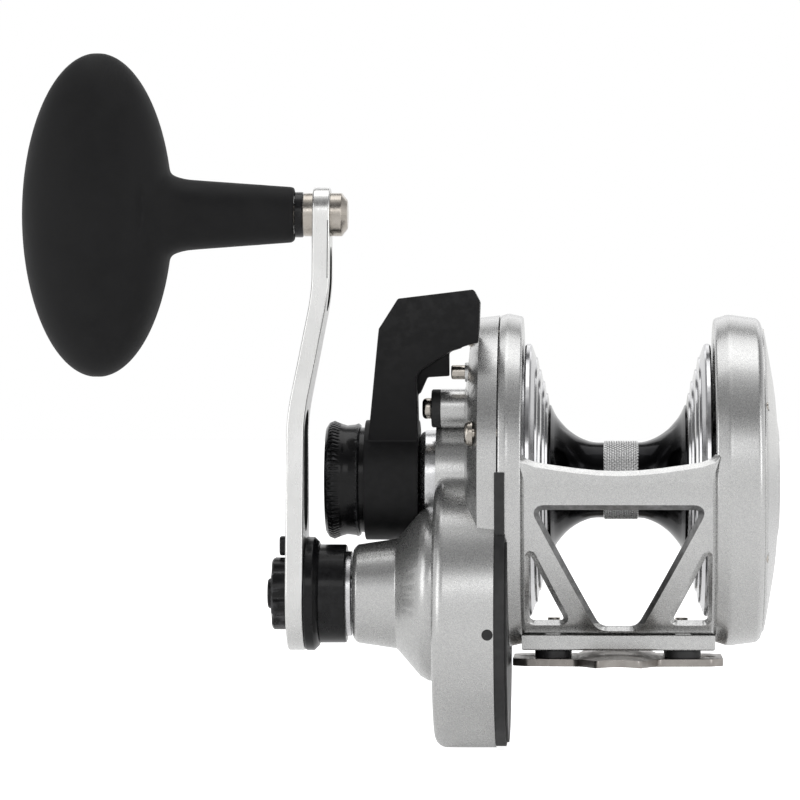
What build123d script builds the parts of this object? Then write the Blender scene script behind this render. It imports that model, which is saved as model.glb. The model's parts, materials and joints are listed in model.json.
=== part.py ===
from build123d import *
import math
import os

os.makedirs("parts", exist_ok=True)

# ---------------------------------------------------------------- axes and layout
SPOOL_Z = 44.0  # spool axis above the underside of the foot
HANDLE_Y = -12.5  # handle axis lies ahead of and below the spool axis
HANDLE_Z = SPOOL_Z - 26.83
KNOB_Z = SPOOL_Z + 63.3
CASE_Y = -13.0  # centre of the round gear case
CASE_Z = SPOOL_Z - 31.1
FIT = 0.05  # radial running clearance

SPOOL_TURN = Plane((0, 0, SPOOL_Z), x_dir=(1, 0, 0), z_dir=(0, -1, 0))
HANDLE_TURN = Plane((0, HANDLE_Y, HANDLE_Z), x_dir=(1, 0, 0), z_dir=(0, -1, 0))
KNOB_TURN = Plane((0, HANDLE_Y, KNOB_Z), x_dir=(1, 0, 0), z_dir=(0, -1, 0))
SPOOL_AXIS = Axis((0, 0, SPOOL_Z), (1, 0, 0))
HANDLE_AXIS = Axis((0, HANDLE_Y, HANDLE_Z), (1, 0, 0))
KNOB_AXIS = Axis((0, HANDLE_Y, KNOB_Z), (1, 0, 0))
ON_SPOOL = (0, SPOOL_Z)
ON_HANDLE = (HANDLE_Y, HANDLE_Z)
ON_CASE = (CASE_Y, CASE_Z)


def around(centre, radius, degrees):
    """Points (y, z) on a circle, angles from +Y towards +Z."""
    return [
        (centre[0] + radius * math.cos(math.radians(a)), centre[1] + radius * math.sin(math.radians(a)))
        for a in degrees
    ]


def across(x, centre):
    """Sketch plane across the spool axis at x with its origin on centre; its axes are world Y and Z."""
    return Plane((x, centre[0], centre[1]), x_dir=(0, 1, 0), z_dir=(1, 0, 0))


# ---------------------------------------------------------------- frame
LEFT_RING = [(-28.1, 33.4), (-28.1, 39.4), (-26.1, 40.0), (-22.6, 39.2), (-22.6, 33.4)]
RIGHT_RING = [(22.8, 33.4), (22.8, 38.6), (26.2, 39.7), (33.1, 38.8), (34.1, 37.7), (34.1, 33.4)]
BAR_X = (LEFT_RING[-1][0], RIGHT_RING[0][0])  # bars run between the inner faces of the rings
BAR_LENGTH = BAR_X[1] - BAR_X[0]
BAR_MIDDLE_X = sum(BAR_X) / 2
SKIN_R = 39.2
SKIN_INNER_R = 35.4
BAR_END_Z = SPOOL_Z + 4.7
BAR_MID_Z = SPOOL_Z + 2.7
BAR_FOOT_Z = SPOOL_Z - 8.4  # the crossbar keeps the round upper corners of the window
WINDOW = [(-19.0, -6.3), (19.4, -6.3), (4.5, -34.3), (-4.2, -34.3)]
CORNER_WINDOW = [(-20.6, -16.8), (-20.8, -32.8), (-12.9, -32.8)]
WINDOW_FILLET = 1.8
CORNER_FILLET = 0.9
BASE_Z = (SPOOL_Z - 40.2, SPOOL_Z - 36.4)
BASE_T = BASE_Z[1] - BASE_Z[0]
BASE_Y = 14.0
BASE_SLOT = (10.0, 15.0)
REAR_BAR_Z = (SPOOL_Z - 6.0, SPOOL_Z + 1.0)
FOOT_SCREW_X = 15.4
FOOT_SCREW_Y = 9.0
FOOT_SCREWS = [(x, y) for x in (-FOOT_SCREW_X, FOOT_SCREW_X) for y in (-FOOT_SCREW_Y, FOOT_SCREW_Y)]
PAD_R = 4.5
PAD_TOP_Z = SPOOL_Z - 34.2
FOOT_SCREW_R = 1.6
SCREW_END = 0.8  # foot screws show this far above the pads
PLATE_SCREWS = around(ON_SPOOL, 36.2, (161.7, 107, 60, 12, -36))
PALM_SCREWS = around(ON_SPOOL, 34.9, (150, 90, 30, -30, -90, -150))
SCREW_R = 1.3
LEFT_HOLE_DEPTH = 4.0
RIGHT_HOLE_DEPTH = 5.0

with BuildPart() as frame_left_ring:
    with BuildSketch(SPOOL_TURN):
        with BuildLine():
            Polyline(*LEFT_RING, close=True)
        make_face()
    revolve(axis=SPOOL_AXIS)
    with BuildSketch(Plane.YZ.offset(LEFT_RING[0][0])):
        with Locations(*PLATE_SCREWS):
            Circle(SCREW_R)
    extrude(amount=LEFT_HOLE_DEPTH, mode=Mode.SUBTRACT)
frame_left_ring.part.label = "frame_left_ring"
export_step(frame_left_ring.part, "parts/frame_left_ring.step")

with BuildPart() as frame_right_ring:
    with BuildSketch(SPOOL_TURN):
        with BuildLine():
            Polyline(*RIGHT_RING, close=True)
        make_face()
    revolve(axis=SPOOL_AXIS)
    with BuildSketch(Plane.YZ.offset(RIGHT_RING[-1][0])):
        with Locations(*PALM_SCREWS):
            Circle(SCREW_R)
    extrude(amount=-RIGHT_HOLE_DEPTH, mode=Mode.SUBTRACT)
frame_right_ring.part.label = "frame_right_ring"
export_step(frame_right_ring.part, "parts/frame_right_ring.step")

with BuildPart() as frame_crossbar:
    with BuildSketch(Plane.YZ.offset(BAR_X[0])):
        with Locations(ON_SPOOL):
            Circle(SKIN_R)
            Circle(SKIN_INNER_R, mode=Mode.SUBTRACT)
    extrude(amount=BAR_LENGTH)
    with BuildSketch(Plane.XZ):
        with BuildLine():
            ThreePointArc((BAR_X[0], BAR_END_Z), (0, BAR_MID_Z), (BAR_X[1], BAR_END_Z))
            Polyline(
                (BAR_X[1], BAR_END_Z), (BAR_X[1], BAR_FOOT_Z), (BAR_X[0], BAR_FOOT_Z), (BAR_X[0], BAR_END_Z),
            )
        make_face()
    extrude(amount=2 * SKIN_R, mode=Mode.INTERSECT)
    with BuildSketch(Plane.XZ) as bar_window:
        with BuildLine():
            Polyline(*[(x, SPOOL_Z + z) for x, z in WINDOW], close=True)
        make_face()
        fillet(bar_window.vertices(), WINDOW_FILLET)
    extrude(amount=2 * SKIN_R, mode=Mode.SUBTRACT)
frame_crossbar.part.label = "frame_crossbar"
export_step(frame_crossbar.part, "parts/frame_crossbar.step")

with BuildPart() as frame_braces:
    with BuildSketch(Plane.YZ.offset(BAR_X[0])):
        with Locations(ON_SPOOL):
            Circle(SKIN_R)
            Circle(SKIN_INNER_R, mode=Mode.SUBTRACT)
    extrude(amount=BAR_LENGTH)
    with BuildSketch(Plane.XZ):
        with Locations((BAR_MIDDLE_X, (BAR_FOOT_Z + BASE_Z[1]) / 2)):
            Rectangle(BAR_LENGTH, BAR_FOOT_Z - BASE_Z[1])
    extrude(amount=2 * SKIN_R, mode=Mode.INTERSECT)
    with BuildSketch(Plane.XZ) as brace_window:
        with BuildLine():
            Polyline(*[(x, SPOOL_Z + z) for x, z in WINDOW], close=True)
        make_face()
        fillet(brace_window.vertices(), WINDOW_FILLET)
    extrude(amount=2 * SKIN_R, mode=Mode.SUBTRACT)
    for side in (-1, 1):
        with BuildSketch(Plane.XZ) as corner_window:
            with BuildLine():
                Polyline(*[(-side * x, SPOOL_Z + z) for x, z in CORNER_WINDOW], close=True)
            make_face()
            fillet(corner_window.vertices(), CORNER_FILLET)
        extrude(amount=2 * SKIN_R, mode=Mode.SUBTRACT)
    with BuildSketch(Plane.XY.offset(BASE_Z[0])):
        with Locations(*FOOT_SCREWS):
            RegularPolygon(PAD_R, 8, rotation=22.5)
    extrude(amount=PAD_TOP_Z - BASE_Z[0], mode=Mode.SUBTRACT)
    with BuildSketch(Plane.XY.offset(PAD_TOP_Z)):
        with Locations(*FOOT_SCREWS):
            Circle(FOOT_SCREW_R)
    extrude(amount=SCREW_END, mode=Mode.SUBTRACT)
frame_braces.part.label = "frame_braces"
export_step(frame_braces.part, "parts/frame_braces.step")

with BuildPart() as frame_rear_bar:
    with BuildSketch(Plane.YZ.offset(BAR_X[0])):
        with Locations(ON_SPOOL):
            Circle(SKIN_R)
            Circle(SKIN_INNER_R, mode=Mode.SUBTRACT)
        with Locations((SKIN_R / 2, sum(REAR_BAR_Z) / 2)):
            Rectangle(SKIN_R, REAR_BAR_Z[1] - REAR_BAR_Z[0], mode=Mode.INTERSECT)
    extrude(amount=BAR_LENGTH)
frame_rear_bar.part.label = "frame_rear_bar"
export_step(frame_rear_bar.part, "parts/frame_rear_bar.step")

with BuildPart() as frame_base:
    with BuildSketch(Plane.XY.offset(BASE_Z[0])):
        with Locations((BAR_MIDDLE_X, 0)):
            Rectangle(BAR_LENGTH, 2 * BASE_Y)
        Rectangle(*BASE_SLOT, mode=Mode.SUBTRACT)
    extrude(amount=BASE_T)
    with BuildSketch(Plane.XY.offset(BASE_Z[0])):
        with Locations(*FOOT_SCREWS):
            RegularPolygon(PAD_R, 8, rotation=22.5)
    extrude(amount=PAD_TOP_Z - BASE_Z[0])
    with BuildSketch(Plane.XY.offset(BASE_Z[0])):
        with Locations(*FOOT_SCREWS):
            Circle(FOOT_SCREW_R)
    extrude(amount=PAD_TOP_Z - BASE_Z[0], mode=Mode.SUBTRACT)
frame_base.part.label = "frame_base"
export_step(frame_base.part, "parts/frame_base.step")

# ---------------------------------------------------------------- foot
FOOT_T = 1.75
FOOT_WING = (50.0, 27.0)
FOOT_LENGTH = 68.0
SADDLE_W = 19.0
TIP_W = 10.6
SADDLE_RISE = 1.0
WING_CUT = 3.0  # corners of the wings
SADDLE_STEP = 1.0  # the saddle stands this far beyond the wings before it tapers
FOOT_CORNER_R = 1.8
CLAMP_HOLE_X = 21.3
CLAMP_HOLE_R = 2.1
FOOT_HEAD_R = 2.9
FOOT_HEAD_T = 1.3
WING_HALF = (FOOT_WING[0] / 2, FOOT_WING[1] / 2)
FOOT_PLAN_HALF = [
    (-WING_HALF[0], -WING_HALF[1] + WING_CUT),
    (-WING_HALF[0] + WING_CUT, -WING_HALF[1]),
    (-SADDLE_W / 2, -WING_HALF[1] - SADDLE_STEP),
    (-TIP_W / 2, -FOOT_LENGTH / 2),
    (TIP_W / 2, -FOOT_LENGTH / 2),
    (SADDLE_W / 2, -WING_HALF[1] - SADDLE_STEP),
    (WING_HALF[0] - WING_CUT, -WING_HALF[1]),
    (WING_HALF[0], -WING_HALF[1] + WING_CUT),
]
FOOT_PLAN = FOOT_PLAN_HALF + [(-x, -y) for x, y in FOOT_PLAN_HALF]

with BuildPart() as foot:
    with BuildSketch(Plane.XZ.offset(-FOOT_LENGTH / 2)):
        with BuildLine():
            Line((-FOOT_WING[0] / 2, 0), (-SADDLE_W / 2, 0))
            ThreePointArc((-SADDLE_W / 2, 0), (0, SADDLE_RISE), (SADDLE_W / 2, 0))
            Line((SADDLE_W / 2, 0), (FOOT_WING[0] / 2, 0))
            Line((FOOT_WING[0] / 2, 0), (FOOT_WING[0] / 2, FOOT_T))
            Line((FOOT_WING[0] / 2, FOOT_T), (SADDLE_W / 2, FOOT_T))
            ThreePointArc((SADDLE_W / 2, FOOT_T), (0, FOOT_T + SADDLE_RISE), (-SADDLE_W / 2, FOOT_T))
            Line((-SADDLE_W / 2, FOOT_T), (-FOOT_WING[0] / 2, FOOT_T))
            Line((-FOOT_WING[0] / 2, FOOT_T), (-FOOT_WING[0] / 2, 0))
        make_face()
    extrude(amount=FOOT_LENGTH)
    with BuildSketch(Plane.XY) as foot_plan:
        with BuildLine():
            Polyline(*FOOT_PLAN, close=True)
        make_face()
        fillet(foot_plan.vertices(), FOOT_CORNER_R)
        with Locations((-CLAMP_HOLE_X, 0), (CLAMP_HOLE_X, 0)):
            Circle(CLAMP_HOLE_R, mode=Mode.SUBTRACT)
        with Locations(*FOOT_SCREWS):
            Circle(FOOT_SCREW_R, mode=Mode.SUBTRACT)
    extrude(amount=2 * FOOT_T + SADDLE_RISE, mode=Mode.INTERSECT)
    with Locations(*[(x, y, 0) for x, y in FOOT_SCREWS]):
        Cone(
            FOOT_HEAD_R + FIT, FOOT_SCREW_R, FOOT_HEAD_T, align=(Align.CENTER, Align.CENTER, Align.MIN),
            mode=Mode.SUBTRACT,
        )
foot.part.label = "foot"
export_step(foot.part, "parts/foot.step")

SPACER_R = 4.3
with BuildPart() as foot_spacers:
    with BuildSketch(Plane.XY.offset(FOOT_T)):
        with Locations(*FOOT_SCREWS):
            Circle(SPACER_R)
            Circle(FOOT_SCREW_R, mode=Mode.SUBTRACT)
    extrude(amount=BASE_Z[0] - FOOT_T)
foot_spacers.part.label = "foot_spacers"
export_step(foot_spacers.part, "parts/foot_spacers.step")

FOOT_SHANK_TOP = PAD_TOP_Z + SCREW_END
HEX_R = 1.3
HEX_DEPTH = 0.7
with BuildPart() as foot_screws:
    with Locations(*[(x, y, 0) for x, y in FOOT_SCREWS]):
        Cone(FOOT_HEAD_R, FOOT_SCREW_R - FIT, FOOT_HEAD_T, align=(Align.CENTER, Align.CENTER, Align.MIN))
    with BuildSketch(Plane.XY):
        with Locations(*FOOT_SCREWS):
            Circle(FOOT_SCREW_R - FIT)
    extrude(amount=FOOT_SHANK_TOP)
    with BuildSketch(Plane.XY):
        with Locations(*FOOT_SCREWS):
            RegularPolygon(HEX_R, 6)
    extrude(amount=HEX_DEPTH, mode=Mode.SUBTRACT)
foot_screws.part.label = "foot_screws"
export_step(foot_screws.part, "parts/foot_screws.step")

# ---------------------------------------------------------------- handle side plate and gear case
PLATE_PROFILE = [
    (-28.3, 0), (-28.3, 39.5), (-32.8, 39.0), (-35.2, 33.1), (-36.1, 25.2), (-36.2, 0),
]
CASE_OUT_X = -43.3
CASE_BACK_X = -28.8
CASE_R = 32.1
CASE_BORE_R = 30.1
CASE_FILLET = 2.9
CASE_WALL_X = -41.5
DISC_BORE_R = 33.0
DISC_WALL_X = -33.2
HUB_R = 15.2
PINION_BORE_R = 13.2
HOUSING_SPIGOT_R = 12.5
DISC_SPIGOT_R = 8.0
SCREW_SEAT_X = -33.9
SCREW_POCKET_R = 3.5
PLUG_Z = CASE_Z - 3.9
PLUG_R = 1.3
PLUG_DEPTH = 1.6
PLUG_X = -30.2
STRIKE = (-10.0, SPOOL_Z + 17.2)
STUD = (-14.5, SPOOL_Z + 25.8)
STRIKE_SEAT_X = -36.2
STRIKE_SEAT_R = 5.2
STUD_SEAT_R = 2.3
SEAT_BASE_X = -34.0
PLATE_BACK_X = PLATE_PROFILE[0][0]
POCKET_DEPTH = 6.0
PLUG_RECESS = 0.4  # plug face below the case wall

with BuildPart() as case_lobe:
    with BuildSketch(Plane.YZ.offset(CASE_OUT_X)):
        with Locations(ON_CASE):
            Circle(CASE_R)
    extrude(amount=CASE_BACK_X - CASE_OUT_X)
    fillet(case_lobe.faces().sort_by(Axis.X)[0].edges(), CASE_FILLET)

with BuildPart() as handle_side_plate:
    with BuildSketch(SPOOL_TURN):
        with BuildLine():
            Polyline(*PLATE_PROFILE, close=True)
        make_face()
    revolve(axis=SPOOL_AXIS)
    add(case_lobe.part)
    with BuildSketch(Plane.YZ.offset(CASE_OUT_X)):
        with Locations(ON_SPOOL):
            Circle(HUB_R)
    extrude(amount=STRIKE_SEAT_X - CASE_OUT_X)
    with BuildSketch(Plane.YZ.offset(STRIKE_SEAT_X)):
        with Locations(STRIKE):
            Circle(STRIKE_SEAT_R)
        with Locations(STUD):
            Circle(STUD_SEAT_R)
    extrude(amount=SEAT_BASE_X - STRIKE_SEAT_X)
    with BuildSketch(Plane.YZ.offset(PLATE_BACK_X)):
        with Locations(ON_SPOOL):
            Circle(DISC_BORE_R)
    extrude(amount=DISC_WALL_X - PLATE_BACK_X, mode=Mode.SUBTRACT)
    with BuildSketch(Plane.YZ.offset(PLATE_BACK_X)):
        with Locations(ON_CASE):
            Circle(CASE_BORE_R)
        with Locations(ON_SPOOL):
            Circle(PINION_BORE_R)
    extrude(amount=CASE_WALL_X - PLATE_BACK_X, mode=Mode.SUBTRACT)
    with BuildSketch(Plane.YZ.offset(CASE_OUT_X)):
        with Locations(ON_SPOOL):
            Circle(DISC_SPIGOT_R)
        with Locations(ON_HANDLE):
            Circle(HOUSING_SPIGOT_R)
    extrude(amount=CASE_WALL_X - CASE_OUT_X, mode=Mode.SUBTRACT)
    with BuildSketch(Plane.YZ.offset(SCREW_SEAT_X)):
        with Locations(*PLATE_SCREWS):
            Circle(SCREW_POCKET_R)
    extrude(amount=-POCKET_DEPTH, mode=Mode.SUBTRACT)
    with BuildSketch(Plane.YZ.offset(PLATE_BACK_X)):
        with Locations(*PLATE_SCREWS):
            Circle(SCREW_R)
    extrude(amount=-POCKET_DEPTH, mode=Mode.SUBTRACT)
    with BuildSketch(Plane.XZ.offset(-CASE_Y + CASE_R - PLUG_RECESS - PLUG_DEPTH)):
        with Locations((PLUG_X, PLUG_Z)):
            Circle(PLUG_R)
    extrude(amount=2 * PLUG_DEPTH, mode=Mode.SUBTRACT)
handle_side_plate.part.label = "handle_side_plate"
export_step(handle_side_plate.part, "parts/handle_side_plate.step")

with BuildPart() as case_plug:
    with BuildSketch(Plane.XZ.offset(-CASE_Y + CASE_R - PLUG_RECESS)):
        with Locations((PLUG_X, PLUG_Z)):
            Circle(PLUG_R)
    extrude(amount=-PLUG_DEPTH)
case_plug.part.label = "case_plug"
export_step(case_plug.part, "parts/case_plug.step")

GASKET_X = (-28.8, -26.3)
COVER_X = (-26.3, -25.7)
GASKET_CLEAR_R = 40.3
GASKET_INSET = 0.3
COVER_INSET = (1.2, 0.6)
with BuildPart() as gasket_plate:
    with BuildSketch(Plane.YZ.offset(GASKET_X[0])):
        with Locations(ON_CASE):
            Circle(CASE_R - GASKET_INSET)
        with Locations(ON_SPOOL):
            Circle(GASKET_CLEAR_R, mode=Mode.SUBTRACT)
    extrude(amount=GASKET_X[1] - GASKET_X[0])
gasket_plate.part.label = "gasket_plate"
export_step(gasket_plate.part, "parts/gasket_plate.step")

with BuildPart() as case_inner_cover:
    with BuildSketch(Plane.YZ.offset(COVER_X[0])):
        with Locations(ON_CASE):
            Circle(CASE_R - COVER_INSET[0])
        with Locations(ON_SPOOL):
            Circle(GASKET_CLEAR_R + COVER_INSET[1], mode=Mode.SUBTRACT)
    extrude(amount=COVER_X[1] - COVER_X[0])
case_inner_cover.part.label = "case_inner_cover"
export_step(case_inner_cover.part, "parts/case_inner_cover.step")

BRIDGE_X = (-31.2, -28.8)
PINION_BEARING_R = 9.5
SHAFT_BEARING_R = 5.5
with BuildPart() as bridge_plate:
    with BuildSketch(Plane.YZ.offset(BRIDGE_X[0])):
        with Locations(ON_CASE):
            Circle(CASE_BORE_R)
        with Locations(ON_SPOOL):
            Circle(DISC_BORE_R)
            Circle(PINION_BEARING_R, mode=Mode.SUBTRACT)
        with Locations(ON_HANDLE):
            Circle(SHAFT_BEARING_R, mode=Mode.SUBTRACT)
    extrude(amount=BRIDGE_X[1] - BRIDGE_X[0])
bridge_plate.part.label = "bridge_plate"
export_step(bridge_plate.part, "parts/bridge_plate.step")

SCREW_HEAD_R = 2.9
SCREW_HEAD_T = 1.9
SCREW_DOME_R = 1.2
SCREW_LENGTH = 8.0
CROSS = (2.6, 0.7)
CROSS_DEPTH = 0.9
with BuildPart() as side_plate_screws:
    with BuildSketch(Plane.YZ.offset(SCREW_SEAT_X)):
        with Locations(*PLATE_SCREWS):
            Circle(SCREW_HEAD_R)
    extrude(amount=-SCREW_HEAD_T)
    fillet(side_plate_screws.faces().group_by(Axis.X)[0].edges(), SCREW_DOME_R)
    with BuildSketch(Plane.YZ.offset(SCREW_SEAT_X)):
        with Locations(*PLATE_SCREWS):
            Circle(SCREW_R - FIT)
    extrude(amount=SCREW_LENGTH)
    with BuildSketch(Plane.YZ.offset(SCREW_SEAT_X - SCREW_HEAD_T)):
        with Locations(*PLATE_SCREWS):
            Rectangle(*CROSS)
            Rectangle(*reversed(CROSS))
    extrude(amount=CROSS_DEPTH, mode=Mode.SUBTRACT)
side_plate_screws.part.label = "side_plate_screws"
export_step(side_plate_screws.part, "parts/side_plate_screws.step")

# ---------------------------------------------------------------- strike stop
STRIKE_X = (-46.5, -44.3, -42.1, STRIKE_SEAT_X)  # screw head, bumper, post, seat
STRIKE_R = (2.5, 4.55, 4.65)
STUD_R = 1.7
STUD_HEIGHT = 3.3
SMALL_CHAMFER = 0.3
with BuildPart() as strike_post:
    with BuildSketch(Plane.YZ.offset(STRIKE_SEAT_X)):
        with Locations(STRIKE):
            Circle(STRIKE_R[2])
    extrude(amount=STRIKE_X[2] - STRIKE_X[3])
strike_post.part.label = "strike_post"
export_step(strike_post.part, "parts/strike_post.step")

with BuildPart() as strike_bumper:
    with BuildSketch(Plane.YZ.offset(STRIKE_X[2])):
        with Locations(STRIKE):
            Circle(STRIKE_R[1])
    extrude(amount=STRIKE_X[1] - STRIKE_X[2])
    chamfer(strike_bumper.faces().sort_by(Axis.X)[0].edges(), SMALL_CHAMFER)
strike_bumper.part.label = "strike_bumper"
export_step(strike_bumper.part, "parts/strike_bumper.step")

with BuildPart() as strike_screw:
    with BuildSketch(Plane.YZ.offset(STRIKE_X[1])):
        with Locations(STRIKE):
            Circle(STRIKE_R[0])
    extrude(amount=STRIKE_X[0] - STRIKE_X[1])
    fillet(strike_screw.faces().sort_by(Axis.X)[0].edges(), 1.0)
    with BuildSketch(Plane.YZ.offset(STRIKE_X[0])):
        with Locations(STRIKE):
            Rectangle(*CROSS)
            Rectangle(*reversed(CROSS))
    extrude(amount=CROSS_DEPTH, mode=Mode.SUBTRACT)
strike_screw.part.label = "strike_screw"
export_step(strike_screw.part, "parts/strike_screw.step")

with BuildPart() as stop_stud:
    with BuildSketch(Plane.YZ.offset(STRIKE_SEAT_X)):
        with Locations(STUD):
            Circle(STUD_R)
    extrude(amount=-STUD_HEIGHT)
    chamfer(stop_stud.faces().sort_by(Axis.X)[0].edges(), SMALL_CHAMFER)
stop_stud.part.label = "stop_stud"
export_step(stop_stud.part, "parts/stop_stud.step")

# ---------------------------------------------------------------- bearing housing and handle shaft bearings
HOUSING = [
    (-62.7, 8.0), (-62.7, 10.7), (-61.7, 11.7), (-53.2, 12.95), (-52.4, 13.1), (-46.8, 19.6),
    (-44.8, 20.7), (-43.3, 20.7), (-43.3, 12.5), (-41.5, 12.5), (-41.5, 5.1), (-45.4, 5.1), (-45.4, 8.0),
]
LEVER_CLEAR_R = 14.9
LEVER_CLEAR_X = (-63.0, -47.1)
DISC_R = 11.9
DISC_CLEAR_X = (-47.5, -43.3)
DISC_GAP = 0.1
with BuildPart() as bearing_housing:
    with BuildSketch(HANDLE_TURN):
        with BuildLine():
            Polyline(*HOUSING, close=True)
        make_face()
    revolve(axis=HANDLE_AXIS)
    with BuildSketch(Plane.YZ.offset(LEVER_CLEAR_X[0])):
        with Locations(ON_SPOOL):
            Circle(LEVER_CLEAR_R)
    extrude(amount=LEVER_CLEAR_X[1] - LEVER_CLEAR_X[0], mode=Mode.SUBTRACT)
    with BuildSketch(Plane.YZ.offset(DISC_CLEAR_X[0])):
        with Locations(ON_SPOOL):
            Circle(DISC_R + DISC_GAP)
    extrude(amount=DISC_CLEAR_X[1] - DISC_CLEAR_X[0], mode=Mode.SUBTRACT)
bearing_housing.part.label = "bearing_housing"
export_step(bearing_housing.part, "parts/bearing_housing.step")

SHAFT_R = 4.5
BEARING_OUT_X = -61.9
BEARING_T = 5.0
BEARING_R = 8.0
SHIELD_R = (5.6, 7.0)
SHIELD_DEPTH = 0.4
CLUTCH_X = (-56.0, -46.4)
with BuildPart() as shaft_bearing_outer:
    with BuildSketch(Plane.YZ.offset(BEARING_OUT_X)):
        with Locations(ON_HANDLE):
            Circle(BEARING_R)
            Circle(SHAFT_R + FIT, mode=Mode.SUBTRACT)
    extrude(amount=BEARING_T)
    with BuildSketch(Plane.YZ.offset(BEARING_OUT_X)):
        with Locations(ON_HANDLE):
            Circle(SHIELD_R[1])
            Circle(SHIELD_R[0], mode=Mode.SUBTRACT)
    extrude(amount=SHIELD_DEPTH, mode=Mode.SUBTRACT)
shaft_bearing_outer.part.label = "shaft_bearing_outer"
export_step(shaft_bearing_outer.part, "parts/shaft_bearing_outer.step")

with BuildPart() as one_way_clutch:
    with BuildSketch(Plane.YZ.offset(CLUTCH_X[0])):
        with Locations(ON_HANDLE):
            Circle(BEARING_R)
            Circle(SHAFT_R + FIT, mode=Mode.SUBTRACT)
    extrude(amount=CLUTCH_X[1] - CLUTCH_X[0])
one_way_clutch.part.label = "one_way_clutch"
export_step(one_way_clutch.part, "parts/one_way_clutch.step")

SHAFT_END_R = 3.0
with BuildPart() as shaft_bearing_inner:
    with BuildSketch(Plane.YZ.offset(BRIDGE_X[0])):
        with Locations(ON_HANDLE):
            Circle(SHAFT_BEARING_R)
            Circle(SHAFT_END_R + FIT, mode=Mode.SUBTRACT)
    extrude(amount=BRIDGE_X[1] - BRIDGE_X[0])
shaft_bearing_inner.part.label = "shaft_bearing_inner"
export_step(shaft_bearing_inner.part, "parts/shaft_bearing_inner.step")

SLEEVE_R = 5.0
with BuildPart() as pinion_bearing:
    with BuildSketch(Plane.YZ.offset(BRIDGE_X[0])):
        with Locations(ON_SPOOL):
            Circle(PINION_BEARING_R)
            Circle(SLEEVE_R + FIT, mode=Mode.SUBTRACT)
    extrude(amount=BRIDGE_X[1] - BRIDGE_X[0])
pinion_bearing.part.label = "pinion_bearing"
export_step(pinion_bearing.part, "parts/pinion_bearing.step")

# ---------------------------------------------------------------- gears
MODULE = 0.8
PRESSURE = math.radians(20)
HIGH_TEETH = 58
HIGH_PINION_TEETH = 16
LOW_TEETH = 46
LOW_PINION_TEETH = 28
BACKLASH = 0.1  # taken off each flank
HIGH_X = (-34.4, -31.6)
LOW_X = (-38.1, -35.3)
RATCHET_X = (-40.8, -38.8)
HIGH_HOLES = (13.5, 6, 3.2)  # pitch radius, count, hole radius
LOW_HOLES = (11.0, 6, 2.4)
LINE_ANGLE = math.atan2(SPOOL_Z - HANDLE_Z, -HANDLE_Y)  # handle axis to spool axis


def involute(angle):
    return math.tan(angle) - angle


def gear_outline(teeth, first_tooth):
    """Closed tooth outline; first_tooth is the angle of one tooth's middle."""
    pitch_r = MODULE * teeth / 2
    base_r = pitch_r * math.cos(PRESSURE)
    root_r = pitch_r - 1.25 * MODULE
    tip_r = pitch_r + 0.95 * MODULE
    half_tooth = math.pi / (2 * teeth) - BACKLASH / pitch_r
    flank = []
    for r in (root_r, pitch_r - 0.5 * MODULE, pitch_r, pitch_r + 0.5 * MODULE, tip_r):
        pressure_here = math.acos(min(1.0, base_r / r))
        flank.append((r, half_tooth + involute(PRESSURE) - involute(pressure_here)))
    outline = []
    for tooth in range(teeth):
        middle = first_tooth + tooth * 2 * math.pi / teeth
        for r, half in flank:
            outline.append((r * math.cos(middle - half), r * math.sin(middle - half)))
        for r, half in reversed(flank):
            outline.append((r * math.cos(middle + half), r * math.sin(middle + half)))
    return outline


def ratchet_outline(teeth, tip_r, root_r):
    """Saw-tooth outline for a ratchet or clicker wheel."""
    outline = []
    for tooth in range(teeth):
        start = tooth * 2 * math.pi / teeth
        outline.append((tip_r * math.cos(start), tip_r * math.sin(start)))
        end = start + 1.6 * math.pi / teeth
        outline.append((root_r * math.cos(end), root_r * math.sin(end)))
    return outline


with BuildPart() as main_gear_high:
    with BuildSketch(across(HIGH_X[0], ON_HANDLE)):
        with BuildLine():
            Polyline(*gear_outline(HIGH_TEETH, LINE_ANGLE), close=True)
        make_face()
        Circle(SHAFT_R, mode=Mode.SUBTRACT)
        with PolarLocations(HIGH_HOLES[0], HIGH_HOLES[1]):
            Circle(HIGH_HOLES[2], mode=Mode.SUBTRACT)
    extrude(amount=HIGH_X[1] - HIGH_X[0])
main_gear_high.part.label = "main_gear_high"
export_step(main_gear_high.part, "parts/main_gear_high.step")

with BuildPart() as main_gear_low:
    with BuildSketch(across(LOW_X[0], ON_HANDLE)):
        with BuildLine():
            Polyline(*gear_outline(LOW_TEETH, LINE_ANGLE), close=True)
        make_face()
        Circle(SHAFT_R + FIT, mode=Mode.SUBTRACT)
        with PolarLocations(LOW_HOLES[0], LOW_HOLES[1]):
            Circle(LOW_HOLES[2], mode=Mode.SUBTRACT)
    extrude(amount=LOW_X[1] - LOW_X[0])
main_gear_low.part.label = "main_gear_low"
export_step(main_gear_low.part, "parts/main_gear_low.step")

RATCHET_R = 11.5
RATCHET_TEETH = 14
RATCHET_TOOTH = 1.8
with BuildPart() as ratchet_wheel:
    with BuildSketch(across(RATCHET_X[0], ON_HANDLE)):
        with BuildLine():
            Polyline(*ratchet_outline(RATCHET_TEETH, RATCHET_R, RATCHET_R - RATCHET_TOOTH), close=True)
        make_face()
        Circle(SHAFT_R, mode=Mode.SUBTRACT)
    extrude(amount=RATCHET_X[1] - RATCHET_X[0])
ratchet_wheel.part.label = "ratchet_wheel"
export_step(ratchet_wheel.part, "parts/ratchet_wheel.step")

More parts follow.
